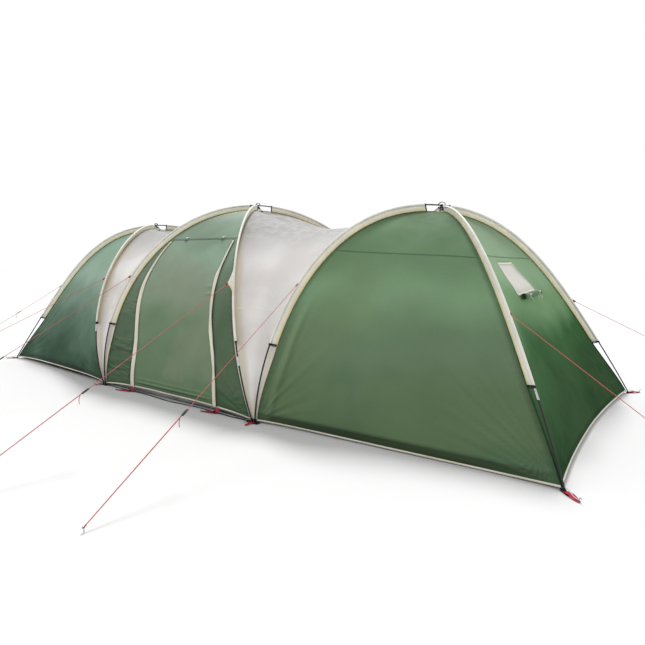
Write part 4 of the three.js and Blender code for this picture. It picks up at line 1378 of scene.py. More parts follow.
def add_door_trim():
    """The seam over the door, with two toggles on the wall and their loops on the door."""
    columns = np.linspace(1.0, WALL_GRID.shape[0] - 2.0, 80)
    path, up = pick(WALL_GRID, WALL_NORMALS, columns, np.full(80, DOOR_ROWS + 0.8))
    piece("door_top_seam", tape(path + up * 0.0003, up, 0.014, 0.0012), DOOR_GREEN)
    for name, x in [("left", -0.475), ("right", 0.092)]:
        column = np.interp(x, WALL_GRID[:, DOOR_ROWS, 0], np.arange(WALL_GRID.shape[0]))
        place, out = pick(WALL_GRID, WALL_NORMALS, column, DOOR_ROWS + 1.0)
        side = unit(np.cross(out, UP))
        down = np.cross(side, out)
        down = down if down[2] < 0 else -down
        bar = place + out * 0.012 + down * 0.004
        strap = curve_through([place + out * 0.002 - down * 0.02, place + out * 0.006,
                               bar + out * 0.004, bar + down * 0.008 + out * 0.001], 16)
        piece("door_toggle_" + name, joined([
            box_surface(bar, (down, out, side), (0.011, 0.011, 0.034), 0.5),
            tape(strap, out, 0.01, 0.0014),
        ]), TOGGLE)
        hold = curve_through([
            place + down * 0.028 + out * 0.002, place + down * 0.038 + out * 0.006 + side * 0.007,
            place + down * 0.05 + out * 0.005, place + down * 0.038 + out * 0.006 - side * 0.007,
            place + down * 0.028 + out * 0.002], 24)
        piece("door_toggle_loop_" + name, tube(hold, 0.0018, 6), BLACK_WEB, "door")


add_door_trim()

# ---------------------------------------------------------------- end walls with a vent

VENT_BOTTOM = 1.045
VENT_TOP = 1.31
VENT_SHARES = (0.345, 0.368)
VENT_COLUMNS = (44, 30, 44)
VENT_ROWS = (72, 16, 26)
NET_COLUMNS, NET_ROWS = 41, 31
SILL_PROP = 0.034
# The rolled cover: its turns, the radius of the first and how much the last one adds.
ROLL_TURNS, ROLL_CORE, ROLL_GROWTH = 3.1, 0.007, 0.0175


def end_share(column, climb, low, high):
    """The share across an end wall of a column of its grid, which bends with the vent."""
    rise = np.clip((climb - low) / (high - low), 0, 1)
    edge = VENT_SHARES[0] + (VENT_SHARES[1] - VENT_SHARES[0]) * rise
    a, b, c = VENT_COLUMNS
    left = edge * column / a
    middle = edge + (1 - 2 * edge) * (column - a) / b
    right = 1 - edge + edge * (column - a - b) / c
    return np.where(column <= a, left, np.where(column <= a + b, middle, right))


def end_folds(grid):
    """Folds from both feet of an end wall."""
    return fan(grid, 0, 0.0018, 0.36, 8, 0.15) + fan(grid, -1, 0.0018, 0.34, 8, 0.6)


def add_end(dome_name):
    """An end wall, its vent's mesh, binding and rolled flap. The side is the dome's name."""
    dome, side = DOMES[dome_name], dome_name
    wall = wall_between(dome, (side, False), (side, True), 0.004, 0.058, hollow_hem)
    low, high = (float(climb_at(dome, side, h)) for h in (VENT_BOTTOM, VENT_TOP))
    a, b, c = VENT_COLUMNS
    r0, r1, r2 = VENT_ROWS
    inside = inside_of(dome)

    def at(columns, climbs):
        """Points of the wall, which is propped out a little at the vent's sill."""
        share = end_share(columns, climbs, low, high)
        near_sill = ridge(climbs, low, 0.055) * np.exp(-(np.abs(share - 0.5) / 0.19) ** 4)
        point = wall_point(wall, share, climbs + 0.03 * (share - 0.46) * near_sill)
        return point - inward(dome, point) * (SILL_PROP * near_sill)[..., None]

    columns = np.concatenate([
        a * ease(a + 1, 0.6)[:-1], a + np.arange(b), a + b + c * ease(c + 1, 0.6)])[:, None]
    foot_climb = hem_climb(wall, end_share(columns, np.zeros_like(columns), low, high))
    lower = foot_climb + (low - foot_climb) * (np.linspace(0, 1, r0 + 1)[None] ** 1.15)
    rest = np.concatenate([np.linspace(low, high, r1 + 1)[1:],
                           np.linspace(high, TOP_CLIMB, r2 + 1)[1:]])
    climbs = np.concatenate([lower, np.repeat(rest[None], len(columns), 0)], 1)
    grid = at(np.broadcast_to(columns, climbs.shape), climbs)
    solid = np.ones((a + b + c, r0 + r1 + r2), bool)
    solid[a:a + b, r0:r0 + r1] = False
    height = (billow(grid, 0.003, 6.6) + seam_puckers(grid) + hem_lines(grid) + end_folds(grid)
              + hem_tuck(grid, 0.05, 0.012))
    quiet = smooth((1 - climbs) / 0.05) * smooth(seam_distance(grid) / 0.006)
    outline = np.hypot(
        np.maximum(np.abs(np.arange(a + b + c + 1)[:, None] - a - b / 2) / (b / 2) - 1, 0),
        np.maximum(np.abs(np.arange(r0 + r1 + r2 + 1)[None] - r0 - r1 / 2) / (r1 / 2) - 1, 0))
    quiet = quiet * smooth(outline / 0.4)
    folded, outward = fold(grid, height * quiet, inside)
    felled_seam(f"seam_across_{side}_end", folded, outward, 1.3, 1.28, END_SHADED_GREEN)
    finish_panel(f"cloth_{side}_end_panel", grid, folded, outward, normals_of(grid, inside),
                 END_SHADED_GREEN, [f"{side}_end_panel"], solid)
    hem_binding(f"hem_{side}_end_panel", folded, outward, height=0.013)

    u, v = np.linspace(0, 1, NET_COLUMNS)[:, None], np.linspace(0, 1, NET_ROWS)[None]
    net = at(*np.broadcast_arrays(np.linspace(a, a + b, NET_COLUMNS)[:, None],
                                  np.linspace(low, high, NET_ROWS)[None]))
    net_out = normals_of(net, inside)
    loose = np.sin(np.pi * u) * np.sin(np.pi * v)
    slack = 0.004 * loose + 0.0025 * roughness(net, 0.12, 1.7) * loose
    net_cloth = net + net_out * (slack - 0.0008)[..., None]
    surface = shell(net_cloth, net_cloth - net_out * 0.0006, cloth_places(net))
    screen = piece(f"net_{side}_vent", surface, MESH, "tent", [f"{side}_vent_mesh"])

    middle_out = net_out[NET_COLUMNS // 2, NET_ROWS // 2]
    corners = [(a, low), (a + b, low), (a + b, high), (a, high), (a, low)]
    rim = []
    for (from_column, from_climb), (to_column, to_climb) in zip(corners, corners[1:]):
        path = at(np.linspace(from_column, to_column, 30), np.linspace(from_climb, to_climb, 30))
        rim.append(tape(path + middle_out * 0.0008, middle_out, 0.016, 0.0016))
    piece(f"binding_{side}_vent", joined(rim), BINDING)
    sill_columns = np.linspace(a + 0.5, a + b - 0.5, 48)
    sill = at(sill_columns, np.full(48, low - 0.004))
    add_vent_roll(side, sill, unit(net_out[:, 1].mean(0)))


def add_vent_roll(side, sill, out):
    """The vent's cover, rolled up just under the sill and held by two toggles."""
    count = len(sill)
    stations = np.linspace(-1, 1, count)
    along = unit(sill[-1] - sill[0])
    up = np.cross(along, out) if np.cross(along, out)[2] > 0 else np.cross(out, along)
    droop = -0.024 - 0.004 * (1 - stations ** 2) + 0.0015 * np.sin(11 * stations)
    centre = sill + out * 0.027 + up * droop[:, None]
    turn = np.linspace(0, 2 * np.pi * ROLL_TURNS, 90)
    radius = ROLL_CORE + ROLL_GROWTH * turn / turn[-1]
    waist = 1 - 0.16 * ridge(np.abs(stations), 0.6, 0.08)
    uneven = waist * (1 + 0.05 * np.sin(7 * stations + 1))
    spiral = (out * (radius * np.cos(turn + 1.2))[:, None]
              + up * (radius * np.sin(turn + 1.2))[:, None])
    skew = 0.006 * np.sin(turn * 0.9)[None, :, None] * along
    grid = centre[:, None] + spiral[None] * uneven[:, None, None] + skew
    outward = unit(np.cross(np.gradient(grid, axis=1), np.gradient(grid, axis=0)))
    width = float(np.linalg.norm(sill[-1] - sill[0]))
    places = np.stack(np.broadcast_arrays(
        (stations * width / 2)[:, None], lengths(grid[count // 2])[None]), -1)
    roll = piece(f"vent_cover_{side}", shell(grid, grid - outward * 0.0009, places), GREEN,
                 "tent", [f"{side}_vent_flap_roll"])
    for word, share in [("near", 0.2), ("far", 0.8)]:
        middle = centre[int(share * (count - 1))]
        ring_turn = np.linspace(0, 2 * np.pi, 30)
        ring = (middle + out * (0.0225 * np.cos(ring_turn))[:, None]
                + up * (0.0222 * np.sin(ring_turn))[:, None]
                + along * (0.001 * np.sin(3 * ring_turn))[:, None])
        tail = curve_through([middle + out * 0.015 - up * 0.018,
                              middle + out * 0.019 - up * 0.036 + along * 0.006,
                              middle + out * 0.012 - up * 0.062 + along * 0.01], 10)
        piece(f"vent_toggle_{side}_{word}", joined([
            tube(ring, 0.0016, 6),
            tube(tail, 0.0016, 6),
            box_surface(middle + out * 0.0255, (up, out, along), (0.009, 0.009, 0.03), 0.5),
        ]), TOGGLE)


add_end("right")
add_end("left")

# ---------------------------------------------------------------- saddles between the domes


def saddle_point(first, second, across, climb, far):
    """A point of the cloth between the facing legs of two domes."""
    share = along_of(climb)
    a = seam_point(first, "right", far, share)
    b = seam_point(second, "left", far, share)
    width = np.linalg.norm(b - a, axis=-1)
    hang = 0.09 * width * 4 * across * (1 - across) * (0.45 + 0.55 * smooth(climb))
    toward = inward(first, a) * (1 - across)[..., None] + inward(second, b) * across[..., None]
    toward[..., 0] = 0
    return a + (b - a) * across[..., None] + unit(toward) * hang[..., None]


SADDLE_SEAM_HEIGHT = 0.86
SADDLE_COLUMNS, SADDLE_ROWS = 64, 130


def add_saddle(name, first, second, shift):
    """The cloth between two domes, from one hem over the ridge to the other, in one sheet."""
    lowest = float(climb_at(first, "right", HEM_FOOT + 0.012))
    across, climb = np.broadcast_arrays(np.linspace(0.004, 0.996, SADDLE_COLUMNS)[:, None],
                                        np.linspace(lowest, 1, SADDLE_ROWS)[None])

    def over(near, rear):
        """One grid over the ridge, from a grid of the near side and one of the rear."""
        return np.concatenate([near, rear[:, -2::-1]], 1)

    grid = over(*(saddle_point(first, second, across, climb, far) for far in (False, True)))
    across, climb = over(across, across), over(climb, climb)
    inside = np.array([(first["right"]["x"] + second["left"]["x"]) / 2, 0, 0.3])
    middle = 4 * across * (1 - across)
    pull = np.sin(2 * np.pi * (1.6 * across + 0.15 + 0.1 * shift)) * ridge(climb, 0.3, 0.22)
    crown = np.cos(2 * np.pi * (3 * across + climb)) * smooth((climb - 0.55) / 0.3)
    height = middle * (0.008 * pull + 0.002 * crown) + billow(grid, 0.0035, shift)
    folded, outward = fold(grid, height * smooth(seam_distance(grid) / 0.01), inside)
    finish_panel(f"cloth_{name}_saddle", grid, folded, outward, normals_of(grid, inside), PALE,
                 [f"{name}_saddle"])
    half = grid.shape[1] // 2
    for word, part in [("near", slice(0, half)), ("far", slice(half, None))]:
        rows_at = []
        for column in range(SADDLE_COLUMNS):
            heights = folded[column, part, 2]
            order = np.argsort(heights)
            rows_at.append(np.interp(SADDLE_SEAM_HEIGHT, heights[order],
                                     np.arange(grid.shape[1])[part][order]))
        path, up = pick(folded, outward, np.arange(SADDLE_COLUMNS), np.array(rows_at))
        piece(f"seam_{name}_saddle_{word}", tape(path + up * 0.0002, up, 0.011, 0.001), BINDING)
    hem_binding(f"hem_{name}_saddle_near", folded, outward)
    hem_binding(f"hem_{name}_saddle_far", folded[:, ::-1], outward[:, ::-1])


add_saddle("left", DOMES["left"], DOMES["middle"], 1.0)
add_saddle("right", DOMES["middle"], DOMES["right"], 3.0)

# ---------------------------------------------------------------- poles and sleeves

POLE_STATIONS = 150
FERRULE_LENGTH = 0.075
# How far below its sleeve each rising pole shows a ferrule, on its near leg.
FERRULE_DROP = {"left": 0.02, "middle": 0.125, "right": 0.012}
FAR_FERRULE_DROP = 0.1
HOOK_DROP = 0.008


def pole_frame(dome, side, share):
    """The centre of a pole, with the directions out of the tent and across the pole."""
    share = np.asarray(share, float)
    centre = arch_point(dome, side, False, share)
    step = 1e-3
    ahead = arch_point(dome, side, False, np.clip(share + step, 0, 1))
    behind = arch_point(dome, side, False, np.clip(share - step, 0, 1))
    out = -inward(dome, centre)
    across = unit(np.cross(ahead - behind, out))
    return centre, out, across


def add_pole(dome_name, direction):
    """A pole from foot to foot. The rising ones show a steel ferrule on each bare leg."""
    dome, side = DOMES[dome_name], POLE_SIDE[direction]
    node = f"{dome_name}_pole_{direction}"
    share = (1 - np.cos(np.pi * np.linspace(0, 1, POLE_STATIONS))) / 2
    centre, out, across = pole_frame(dome, side, share)
    piece("rod_" + node, sweep(centre, across, out, round_section(POLE_RADIUS, 12)), POLE,
          "tent", [node])
    if direction == "falling":
        return
    for leg_side, far, drop in [(side, False, FERRULE_DROP[dome_name]),
                                (OTHER[side], True, FAR_FERRULE_DROP)]:
        leg = along_at(dome, leg_side, dome[leg_side]["sleeve_foot"]) * crossing(dome, leg_side)
        share = np.linspace(0, leg, 400)
        share = 1 - share if far else share
        travelled = lengths(arch_point(dome, side, False, share))
        top = travelled[-1] - drop
        stretch = (travelled < top) & (travelled > top - FERRULE_LENGTH)
        centre, out, across = pole_frame(dome, side, share[stretch])
        girth = np.full(len(centre), POLE_RADIUS + 0.0014)
        girth[[0, -1]] = POLE_RADIUS + 0.0004
        section = round_section(1.0, 12) * girth[:, None, None]
        piece(f"ferrule_{node}_{LEG_WORD[far]}", sweep(centre, across, out, section), FERRULE)


def sleeve_outline(root, wave, inset=0.0):
    """The cloth's line round a pole, from one side of its fin's root to the other."""
    half = 0.0011 - inset * 0.6
    radius = TUNNEL_RADIUS - inset
    neck = -TUNNEL_RADIUS * 0.96
    fin = np.linspace(root, neck, 6)
    bend = wave * np.sin(np.pi * (fin - root) / (neck - root))
    turn = np.linspace(-0.5 * np.pi - 0.14, -2.5 * np.pi + 0.14, 17)[1:-1]
    tunnel = np.stack([radius * np.cos(turn), radius * np.sin(turn) * 1.02], 1)
    left = np.stack([bend - half, fin], 1)
    right = np.stack([bend + half, fin], 1)[::-1]
    return np.concatenate([left, tunnel, right])


def fin_root(dome, leg_side, far, share, centre):
    """How far inside a pole its sleeve's fin starts, at shares along the pole."""
    along = (1 - share if far else share) / crossing(dome, leg_side)
    return -fin_height(leg_side, far, along, centre[:, 2])


def round_pole(centre, out, across, outlines):
    """Outlines in the plane across a pole, carried to the places they have along it."""
    return (centre[:, None] + across[:, None] * outlines[..., :1]
            + out[:, None] * outlines[..., 1:])


def sleeve_half(dome, side, start, stop, leg_side, far):
    """The sleeve on one leg, as a folded sheet with its ends open round the pole."""
    count = 96
    share = np.linspace(start, stop, count)
    centre, out, across = pole_frame(dome, side, share)
    length = lengths(centre)
    root = fin_root(dome, leg_side, far, share, centre)
    wave = 0.0022 * np.sin(length * 46) + 0.0013 * np.sin(length * 97 + 1.0)
    wave = wave * smooth(length / 0.1) * smooth((length[-1] - length) / 0.1)
    outer, inner = (np.array([sleeve_outline(root[k], wave[k], inset) for k in range(count)])
                    for inset in (0.0, 0.0008))
    places = np.stack(np.broadcast_arrays(length[:, None], outer[..., 1] - root[:, None]), -1)
    return shell(round_pole(centre, out, across, outer), round_pole(centre, out, across, inner),
                 places)


def end_binding(dome, side, share, leg_side, far):
    """Black tape sewn round the end of a sleeve, from its root over the pole."""
    step = 1e-4
    stretch = (arch_point(dome, side, False, share + step)
               - arch_point(dome, side, False, share - step))
    half = 0.0055 * 2 * step / np.linalg.norm(stretch)
    share = share + np.linspace(-half, half, 3)
    centre, out, across = pole_frame(dome, side, share)
    root = fin_root(dome, leg_side, far, share, centre)
    outer, inner = (
        round_pole(centre, out, across, np.array([sleeve_outline(r, 0.0, inset) for r in root]))
        for inset in (-0.0011, -0.0001))
    return shell(outer, inner, cloth_places(outer))


def hook_surface(dome, leg_side, far, height):
    """The strap and hook that hold a bare leg to its seam just under the sleeve."""
    along = along_at(dome, leg_side, height)
    pole = leg_point(dome, leg_side, far, along)
    seam = seam_point(dome, leg_side, far, along)
    above = leg_point(dome, leg_side, far, along + 0.004)
    up = unit(above - pole)
    outwards = unit(pole - seam)
    across = np.cross(up, outwards)
    turn = np.linspace(0.75 * np.pi, -0.85 * np.pi, 16)
    ring = pole + 0.0074 * (outwards * np.cos(turn)[:, None] + across * np.sin(turn)[:, None])
    strap = curve_through([seam - outwards * 0.004, seam + outwards * 0.018 - up * 0.003,
                           pole - outwards * 0.008], 12)
    return joined([
        sweep(ring, np.repeat(up[None], 16, 0), unit(ring - pole), [
            (-0.004, 0), (0.004, 0), (0.004, 0.0022), (-0.004, 0.0022)]),
        tape(strap, across, 0.008, 0.0018),
    ])


def tab_surface(line):
    """The tapered gusset that the guy line pulls out of its sleeve, and its red loop."""
    along, start, _, direction = guy_line(line)
    leg = (line["dome"], line["side"], line["far"])
    step = 0.004
    climb_step = leg_point(*leg, along + step) - leg_point(*leg, along - step)
    up = unit(climb_step)
    per_metre = 2 * step / np.linalg.norm(climb_step)
    flat = unit(np.cross(up, direction))
    across = np.cross(direction, flat)
    tip = line["reach"]
    reach = np.linspace(-0.003, tip - 0.012, 14)
    share = (reach - reach[0]) / (reach[-1] - reach[0])
    half = 0.0085 + line["spread"] * (1 - share) ** 1.7
    spread = np.linspace(-1, 1, 21)
    base = leg_point(*leg, along + per_metre * half[:, None] * spread)
    grid = base + direction * reach[:, None, None]
    wave = 0.0016 * np.sin(3 * spread)[None] * (1 - share)[:, None]
    thick = 0.0012 + 0.0065 * ((1 - share) ** 6)[:, None] * np.ones(21)[None]
    outer = grid + flat * (wave + thick)[..., None]
    inner = grid + flat * (wave - thick)[..., None]
    cloth = shell(outer, inner, cloth_places(grid))
    one_side = [(-0.026, 0.0022), (-0.008, 0.003), (0.0035, 0.0012)]
    both_sides = one_side + [(past, -beside) for past, beside in one_side[::-1]]
    loop_path = curve_through([start + direction * (tip + past) + flat * beside
                               for past, beside in both_sides], 26)
    tangents = unit(np.gradient(loop_path, axis=0))
    loop_up = np.cross(np.repeat(across[None], 26, 0), tangents)
    loop = tape(loop_path, loop_up, 0.015, 0.0014)
    return cloth, loop


def add_sleeve(dome_name, direction):
    """A pole's sleeve on both its legs, with its end tapes, its guy tabs and its hooks."""
    dome, side = DOMES[dome_name], POLE_SIDE[direction]
    node = f"{dome_name}_sleeve_{direction}"
    other = OTHER[side]
    low = along_at(dome, side, dome[side]["sleeve_foot"]) * crossing(dome, side)
    high = dome[side]["sleeve_top"][False] * crossing(dome, side)
    far_high = 1 - dome[other]["sleeve_top"][True] * crossing(dome, other)
    far_low = 1 - along_at(dome, other, dome[other]["sleeve_foot"]) * crossing(dome, other)
    halves = [sleeve_half(dome, side, low, high, side, False),
              sleeve_half(dome, side, far_high, far_low, other, True)]
    lines = [line for line in [*GUYS, *SPARE_TABS]
             if line["dome"] is dome and line["side"] == (other if line["far"] else side)]
    tabs = [tab_surface(line) for line in lines]
    piece("cloth_" + node, joined(halves), SLEEVE, "tent", [node])
    for line, (cloth, loop) in zip(lines, tabs):
        piece("guy_tab_" + line["name"], cloth, SLEEVE)
        piece("guy_tab_loop_" + line["name"], loop, RED_WEB)
    ends = [(low, side, False), (high, side, False), (far_high, other, True),
            (far_low, other, True)]
    piece("binding_" + node, joined([end_binding(dome, side, *end) for end in ends]), BLACK_WEB)
    for leg_side, far in [(side, False), (other, True)]:
        height = dome[leg_side]["sleeve_foot"] - HOOK_DROP
        piece(f"hook_{dome_name}_{leg_side}_{LEG_WORD[far]}",
              hook_surface(dome, leg_side, far, height), PLASTIC)


def add_leg_seam(dome_name, side, far):
    """The taped seam where the canopy's panels meet under one leg."""
    dome = DOMES[dome_name]
    climb = np.linspace(0.0, 0.985, 140)
    start = float(climb_at(dome, side, HEM_FOOT))
    path = seam_point(dome, side, far, along_of(start + (1 - start) * climb))
    out = -inward(dome, path)
    piece(f"leg_seam_{dome_name}_{side}_{LEG_WORD[far]}",
          tape(path - out * 0.0003, out, 0.013, 0.0016),
          END_SHADED_GREEN if dome_name == side else PALE)


def add_crown(dome_name):
    """The straps that tie the crossed poles down, the loop that stands on them, the ring
    that hangs below them, and the patch under the crossing."""
    dome = DOMES[dome_name]
    upper = leg_point(dome, "left", False, 1.0)
    lower = leg_point(dome, "right", False, 1.0)
    top = dome["height"] - FIN
    x = lower[0]
    straps = []
    for turn in (0.7, -0.7):
        away = np.array([math.cos(turn), math.sin(turn), 0.0])
        near, far = ([(x, 0, top + 0.003) + away * way * 0.016,
                      lower + away * way * 0.013 - UP * 0.02,
                      upper + away * way * 0.009 + UP * 0.003] for way in (-1, 1))
        loop = curve_through([*near, upper + UP * 0.0074, *far[::-1]], 40)
        side = np.array([-away[1], away[0], 0.0])
        tangents = unit(np.gradient(loop, axis=0))
        straps.append(tape(loop, np.cross(tangents, side), 0.011, 0.0014))
    arch = np.linspace(0, np.pi, 21)[:, None]
    grip = upper + (0, 0, 0.004) + np.cos(arch) * (0.03, 0, 0) + np.sin(arch) * (0.002, 0, 0.021)
    straps.append(tape(grip, unit(grip - upper + (0, 0, 0.004)), 0.012, 0.004))
    ring_turn = np.linspace(0, 2 * np.pi, 25)
    ring = lower + np.stack([0.011 * np.cos(ring_turn), 0.011 * np.sin(ring_turn),
                             np.full(25, -0.024)], 1)
    piece(f"crown_strap_{dome_name}", joined([*straps, tube(ring, 0.0016, 8)]), BLACK_WEB,
          "tent", [f"{dome_name}_crown_tie"])
    turn = np.linspace(0, 2 * np.pi, 41)
    radius = np.linspace(0.001, 0.062, 7)
    grid = np.stack([
        np.stack([x + r * np.cos(turn), r * 1.15 * np.sin(turn),
                  top + 0.0016 - 0.11 * (r ** 2) / 0.062 + 0.0005 * np.cos(6 * turn)], 1)
        for r in radius
    ])
    below = grid - (0, 0, 0.0014)
    piece(f"crown_patch_{dome_name}", shell(grid, below, cloth_places(grid)), BINDING)


for dome_name in DOMES:
    for direction in POLE_SIDE:
        add_pole(dome_name, direction)
        add_sleeve(dome_name, direction)
    for side in OTHER:
        for far in (False, True):
            add_leg_seam(dome_name, side, far)
    add_crown(dome_name)

# ---------------------------------------------------------------- ground sheet, straps and feet


def add_ground_sheet():
    """The floor's sheet: nearly flat, with a low soft rim that is higher between the shared
    feet."""
    corners = [(-HALF_LENGTH + 0.03, END_HALF_WIDTH - 0.045),
               (SHARED_LEFT, MID_HALF_WIDTH - 0.037),
               (0.0, MID_HALF_WIDTH - 0.024),
               (SHARED_RIGHT, MID_HALF_WIDTH - 0.037),
               (HALF_LENGTH - 0.03, END_HALF_WIDTH - 0.045)]
    x = np.linspace(corners[0][0], corners[-1][0], 170)[:, None]
    half = np.interp(x, [c[0] for c in corners], [c[1] for c in corners])
    share = ease(81, 0.8)[None] * 2 - 1
    drawn_in = 0.062 * (1 - share ** 2) * smooth((np.abs(x) - 2.6) / 0.7) * np.sign(x)
    flat = np.stack(np.broadcast_arrays(x - drawn_in, half * share, 0 * half * share), -1)
    to_edge = half * (1 - np.abs(share))
    wrinkle = 0.0035 * np.maximum(roughness(flat, np.array([0.3, 0.16, 1.0]), 21.0), -0.2)
    between_feet = smooth((1.0 - np.abs(x - (SHARED_LEFT + SHARED_RIGHT) / 2)) / 0.15)
    rim = (0.012 + 0.034 * between_feet) * smooth(1 - to_edge / 0.03)
    grid = flat.copy()
    grid[..., 2] = 0.0022 + np.maximum(wrinkle, 0) + rim
    under = grid - (0, 0, 0.0009)
    made = piece("cloth_ground_sheet", shell(grid, under, cloth_places(flat)), GROUND,
                 "tent", ["ground_sheet"])


def peg_loop(start, direction, length, width):
    """A folded webbing loop that lies out on the ground, narrowing to the peg."""
    direction = unit(np.array([*direction, 0.0]))
    start = np.asarray(start, float)
    upper = curve_through([
        start, start + direction * length * 0.4 + (0, 0, 0.004),
        start + direction * length * 0.8 + (0, 0, -0.004),
        start + direction * length + (0, 0, 0.004 - start[2])], 20)
    lower = upper[::-1] - np.linspace(0.0, 0.003, 20)[:, None] * UP
    lower[:, 2] = np.maximum(lower[:, 2], 0.0006)
    upper[:, 2] = np.maximum(upper[:, 2], 0.0032)
    widths = np.interp(np.linspace(0, 1, 20), [0, 0.35, 1], [width, width, width * 0.45])
    return joined([tape(upper, UP, widths, 0.0014), tape(lower, UP, widths[::-1], 0.0014)])


def foot_peg(place, direction):
    """A wire peg leaning away from the tent through a loop."""
    flat = unit(np.array([*direction, 0.0]))
    path = curve_through([place + flat * out + UP * height for out, height in [
        (-0.002, 0), (0.002, 0.012), (0.006, 0.024), (0.014, 0.03), (0.022, 0.024)]], 18)
    path[:, 2] = np.maximum(path[:, 2], 0.0)
    return tube(path, 0.0021, 8)


def socket(x, y):
    """The cup that a pole's end stands in, on its eyelet."""
    height = np.array([0.001, 0.003, 0.004, 0.0095, 0.011])
    girth = np.array([1.5, 1.45, 1.05, 1.0, 0.9])
    path = np.stack([np.full(5, x), np.full(5, y), height], 1)
    section = round_section(0.008, 16) * girth[:, None, None]
    x_axis, y_axis = np.repeat([[1.0, 0, 0]], 5, 0), np.repeat([[0, 1.0, 0]], 5, 0)
    return sweep(path, x_axis, y_axis, section)


def add_corner(side, sign_x, front, sign_y):
    """A corner foot: its patch and cup, its red loop and peg, and its elastic."""
    x, y = sign_x * HALF_LENGTH, sign_y * END_HALF_WIDTH
    out = unit(np.array([sign_x * 1.0, sign_y * 1.0]))
    name = f"{side}_{front}"
    here = np.array([x, y, 0.0])
    outwards = np.array([*out, 0.0])

    def along(*stops):
        """Points outwards from the foot, each given as its distance and its height."""
        return [here + outwards * distance + UP * height for distance, height in stops]

    patch = curve_through(along((-0.025, 0.014), (-0.008, 0.004), (0.02, 0.0012),
                                (0.05, 0.0012)), 18)
    piece(f"foot_patch_{name}", joined([tape(patch, UP, 0.034, 0.0018), socket(x, y)]),
          BLACK_WEB, "tent", [f"{name}_corner_anchor"])
    piece(f"foot_loop_{name}", peg_loop(*along((0.014, 0.008)), out, 0.116, 0.036), RED_WEB)
    piece(f"foot_peg_{name}", foot_peg(here + outwards * 0.122, out), STEEL)
    elastic = curve_through(along((0, HEM_FOOT + 0.012), (0.035, 0.026), (0.075, 0.012),
                                  (0.118, 0.011)), 24)
    piece(f"foot_elastic_{name}", tube(elastic, 0.0026, 8), WHITE_WEB)


def add_base_strap(front, sign):
    """The webbing between the two shared feet of one side, with its loops and pegs."""
    y = sign * MID_HALF_WIDTH
    share = np.linspace(0, 1, 120)
    x = SHARED_LEFT + (SHARED_RIGHT - SHARED_LEFT) * share
    slack = np.sin(np.pi * share)
    main = np.stack([x, y + sign * (0.012 * np.sin(5 * np.pi * share) * slack - 0.004),
                     0.0018 + 0.002 * np.abs(np.sin(8 * np.pi * share))], 1)
    second = np.stack([x, y - sign * 0.03 - sign * 0.016 * slack * np.cos(3 * np.pi * share),
                       0.007 + 0.010 * slack * (0.6 + 0.4 * np.sin(6 * np.pi * share))], 1)
    parts = [tape(main, UP, 0.013, 0.0016), tape(second, UP, 0.007, 0.0014)]
    for place in (SHARED_LEFT, SHARED_RIGHT):
        patch_x = np.linspace(place - 0.06, place + 0.06, 20)
        bulge = 0.0028 + 0.006 * np.exp(-((patch_x - place) / 0.045) ** 4)
        patch = np.stack([patch_x, np.full(20, y + sign * 0.004), bulge * 0.6], 1)
        parts += [tape(patch, UP, 0.044, 0.0018), socket(place - FOOT_SPACING, y),
                  socket(place + FOOT_SPACING, y)]
    piece(f"strap_{front}_base", joined(parts), BLACK_WEB, "tent",
          [f"{front}_base_strap"])
    for word, loop_x, aim, length, width in [
        ("left_foot", SHARED_LEFT - 0.02, (-0.55, 1.0), 0.075, 0.024),
        ("door_left", -0.535, (-1.0, 0.22), 0.2, 0.036),
        ("door_right", 0.665, (-1.0, 0.2), 0.16, 0.036),
        ("right_foot", SHARED_RIGHT + 0.01, (-0.1, 1.0), 0.085, 0.03),
    ]:
        direction = (aim[0], sign * aim[1])
        start = np.array([loop_x, y + sign * 0.012, 0.008])
        piece(f"strap_loop_{front}_{word}", peg_loop(start, direction, length, width), RED_WEB)
        flat = unit(np.array([*direction, 0.0]))
        tip = start * (1, 1, 0) + flat * (length - 0.008)
        piece(f"strap_peg_{front}_{word}", foot_peg(tip, direction), STEEL)
        if not word.startswith("door"):
            continue
        tie = curve_through([
            start + (0.022, -sign * 0.012, 0.036), start + (0.014, -sign * 0.002, 0.022),
            start + (0.0, 0.0, 0.006), start + (-0.03, sign * 0.004, 0.002)], 20)
        up = unit(np.array([0.0, sign, 0.3]))
        piece(f"strap_tie_{front}_{word}", tape(tie, up, 0.03, 0.0016), RED_WEB)
        piece(f"strap_buckle_{front}_{word}", box_surface(
            start + (-0.02, sign * 0.004, 0.007), ((1, 0, 0), (0, 0, 1), (0, 1, 0)),
            (0.034, 0.011, 0.042)), PLASTIC)


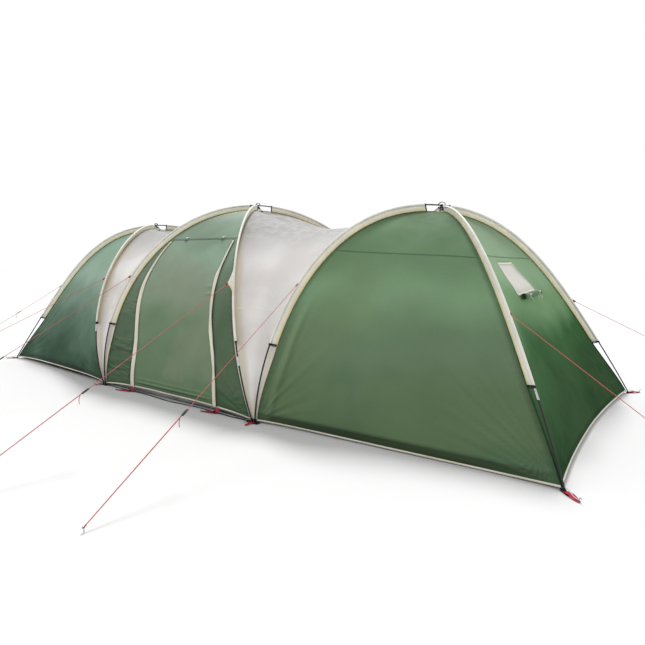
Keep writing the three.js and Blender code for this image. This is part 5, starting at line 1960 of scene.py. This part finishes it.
add_ground_sheet()
for side, sign_x in [("left", -1), ("right", 1)]:
    for front, sign_y in [("front", -1), ("rear", 1)]:
        add_corner(side, sign_x, front, sign_y)
add_base_strap("front", -1)
add_base_strap("rear", 1)

# ---------------------------------------------------------------- floor and light

FLOOR_REACH = 60.0


def add_floor():
    """A plain light floor that runs on past the view. It isn't part of the tent."""
    corners = [(x * FLOOR_REACH, y * FLOOR_REACH, -0.001) for x, y in
               [(-1, -1), (1, -1), (1, 1), (-1, 1)]]
    mesh = bpy.data.meshes.new("floor")
    mesh.from_pydata(corners, [], [(0, 1, 2, 3)])
    look = Look("floor_white")
    mesh.materials.append(look.finish((0.68, 0.68, 0.68, 1), 1.0, Specular_IOR_Level=0.0))
    floor = linked("floor", mesh)


def add_sun(name, strength, angle, direction):
    """A sun that shines in a direction. Its angle, in degrees, softens the shadows."""
    light = bpy.data.lights.new(name, "SUN")
    light.energy = strength
    light.angle = math.radians(angle)
    lamp = linked(name, light)
    lamp.rotation_euler = Vector(direction).to_track_quat("-Z", "Y").to_euler()


def add_sky():
    """A plain white sky, dimmer overhead."""
    world = bpy.data.worlds.new("studio")
    bpy.context.scene.world = world
    world.use_nodes = True
    tree = world.node_tree
    tree.nodes.clear()
    output = tree.nodes.new("ShaderNodeOutputWorld")
    back = tree.nodes.new("ShaderNodeBackground")
    place = tree.nodes.new("ShaderNodeTexCoord")
    split = tree.nodes.new("ShaderNodeSeparateXYZ")
    strength = tree.nodes.new("ShaderNodeMapRange")
    tree.links.new(place.outputs["Generated"], split.inputs[0])
    tree.links.new(split.outputs[2], strength.inputs[0])
    for key, value in [(1, 0.45), (2, 1.0), (3, 1.0), (4, 0.58)]:
        strength.inputs[key].default_value = value
    back.inputs["Color"].default_value = (1, 1, 1, 1)
    tree.links.new(strength.outputs[0], back.inputs["Strength"])
    tree.links.new(back.outputs[0], output.inputs[0])


add_floor()
add_sky()
add_sun("key", 2.95, 14.0, (0.5, -0.6, -1.0))
bpy.context.scene.view_settings.view_transform = "Standard"
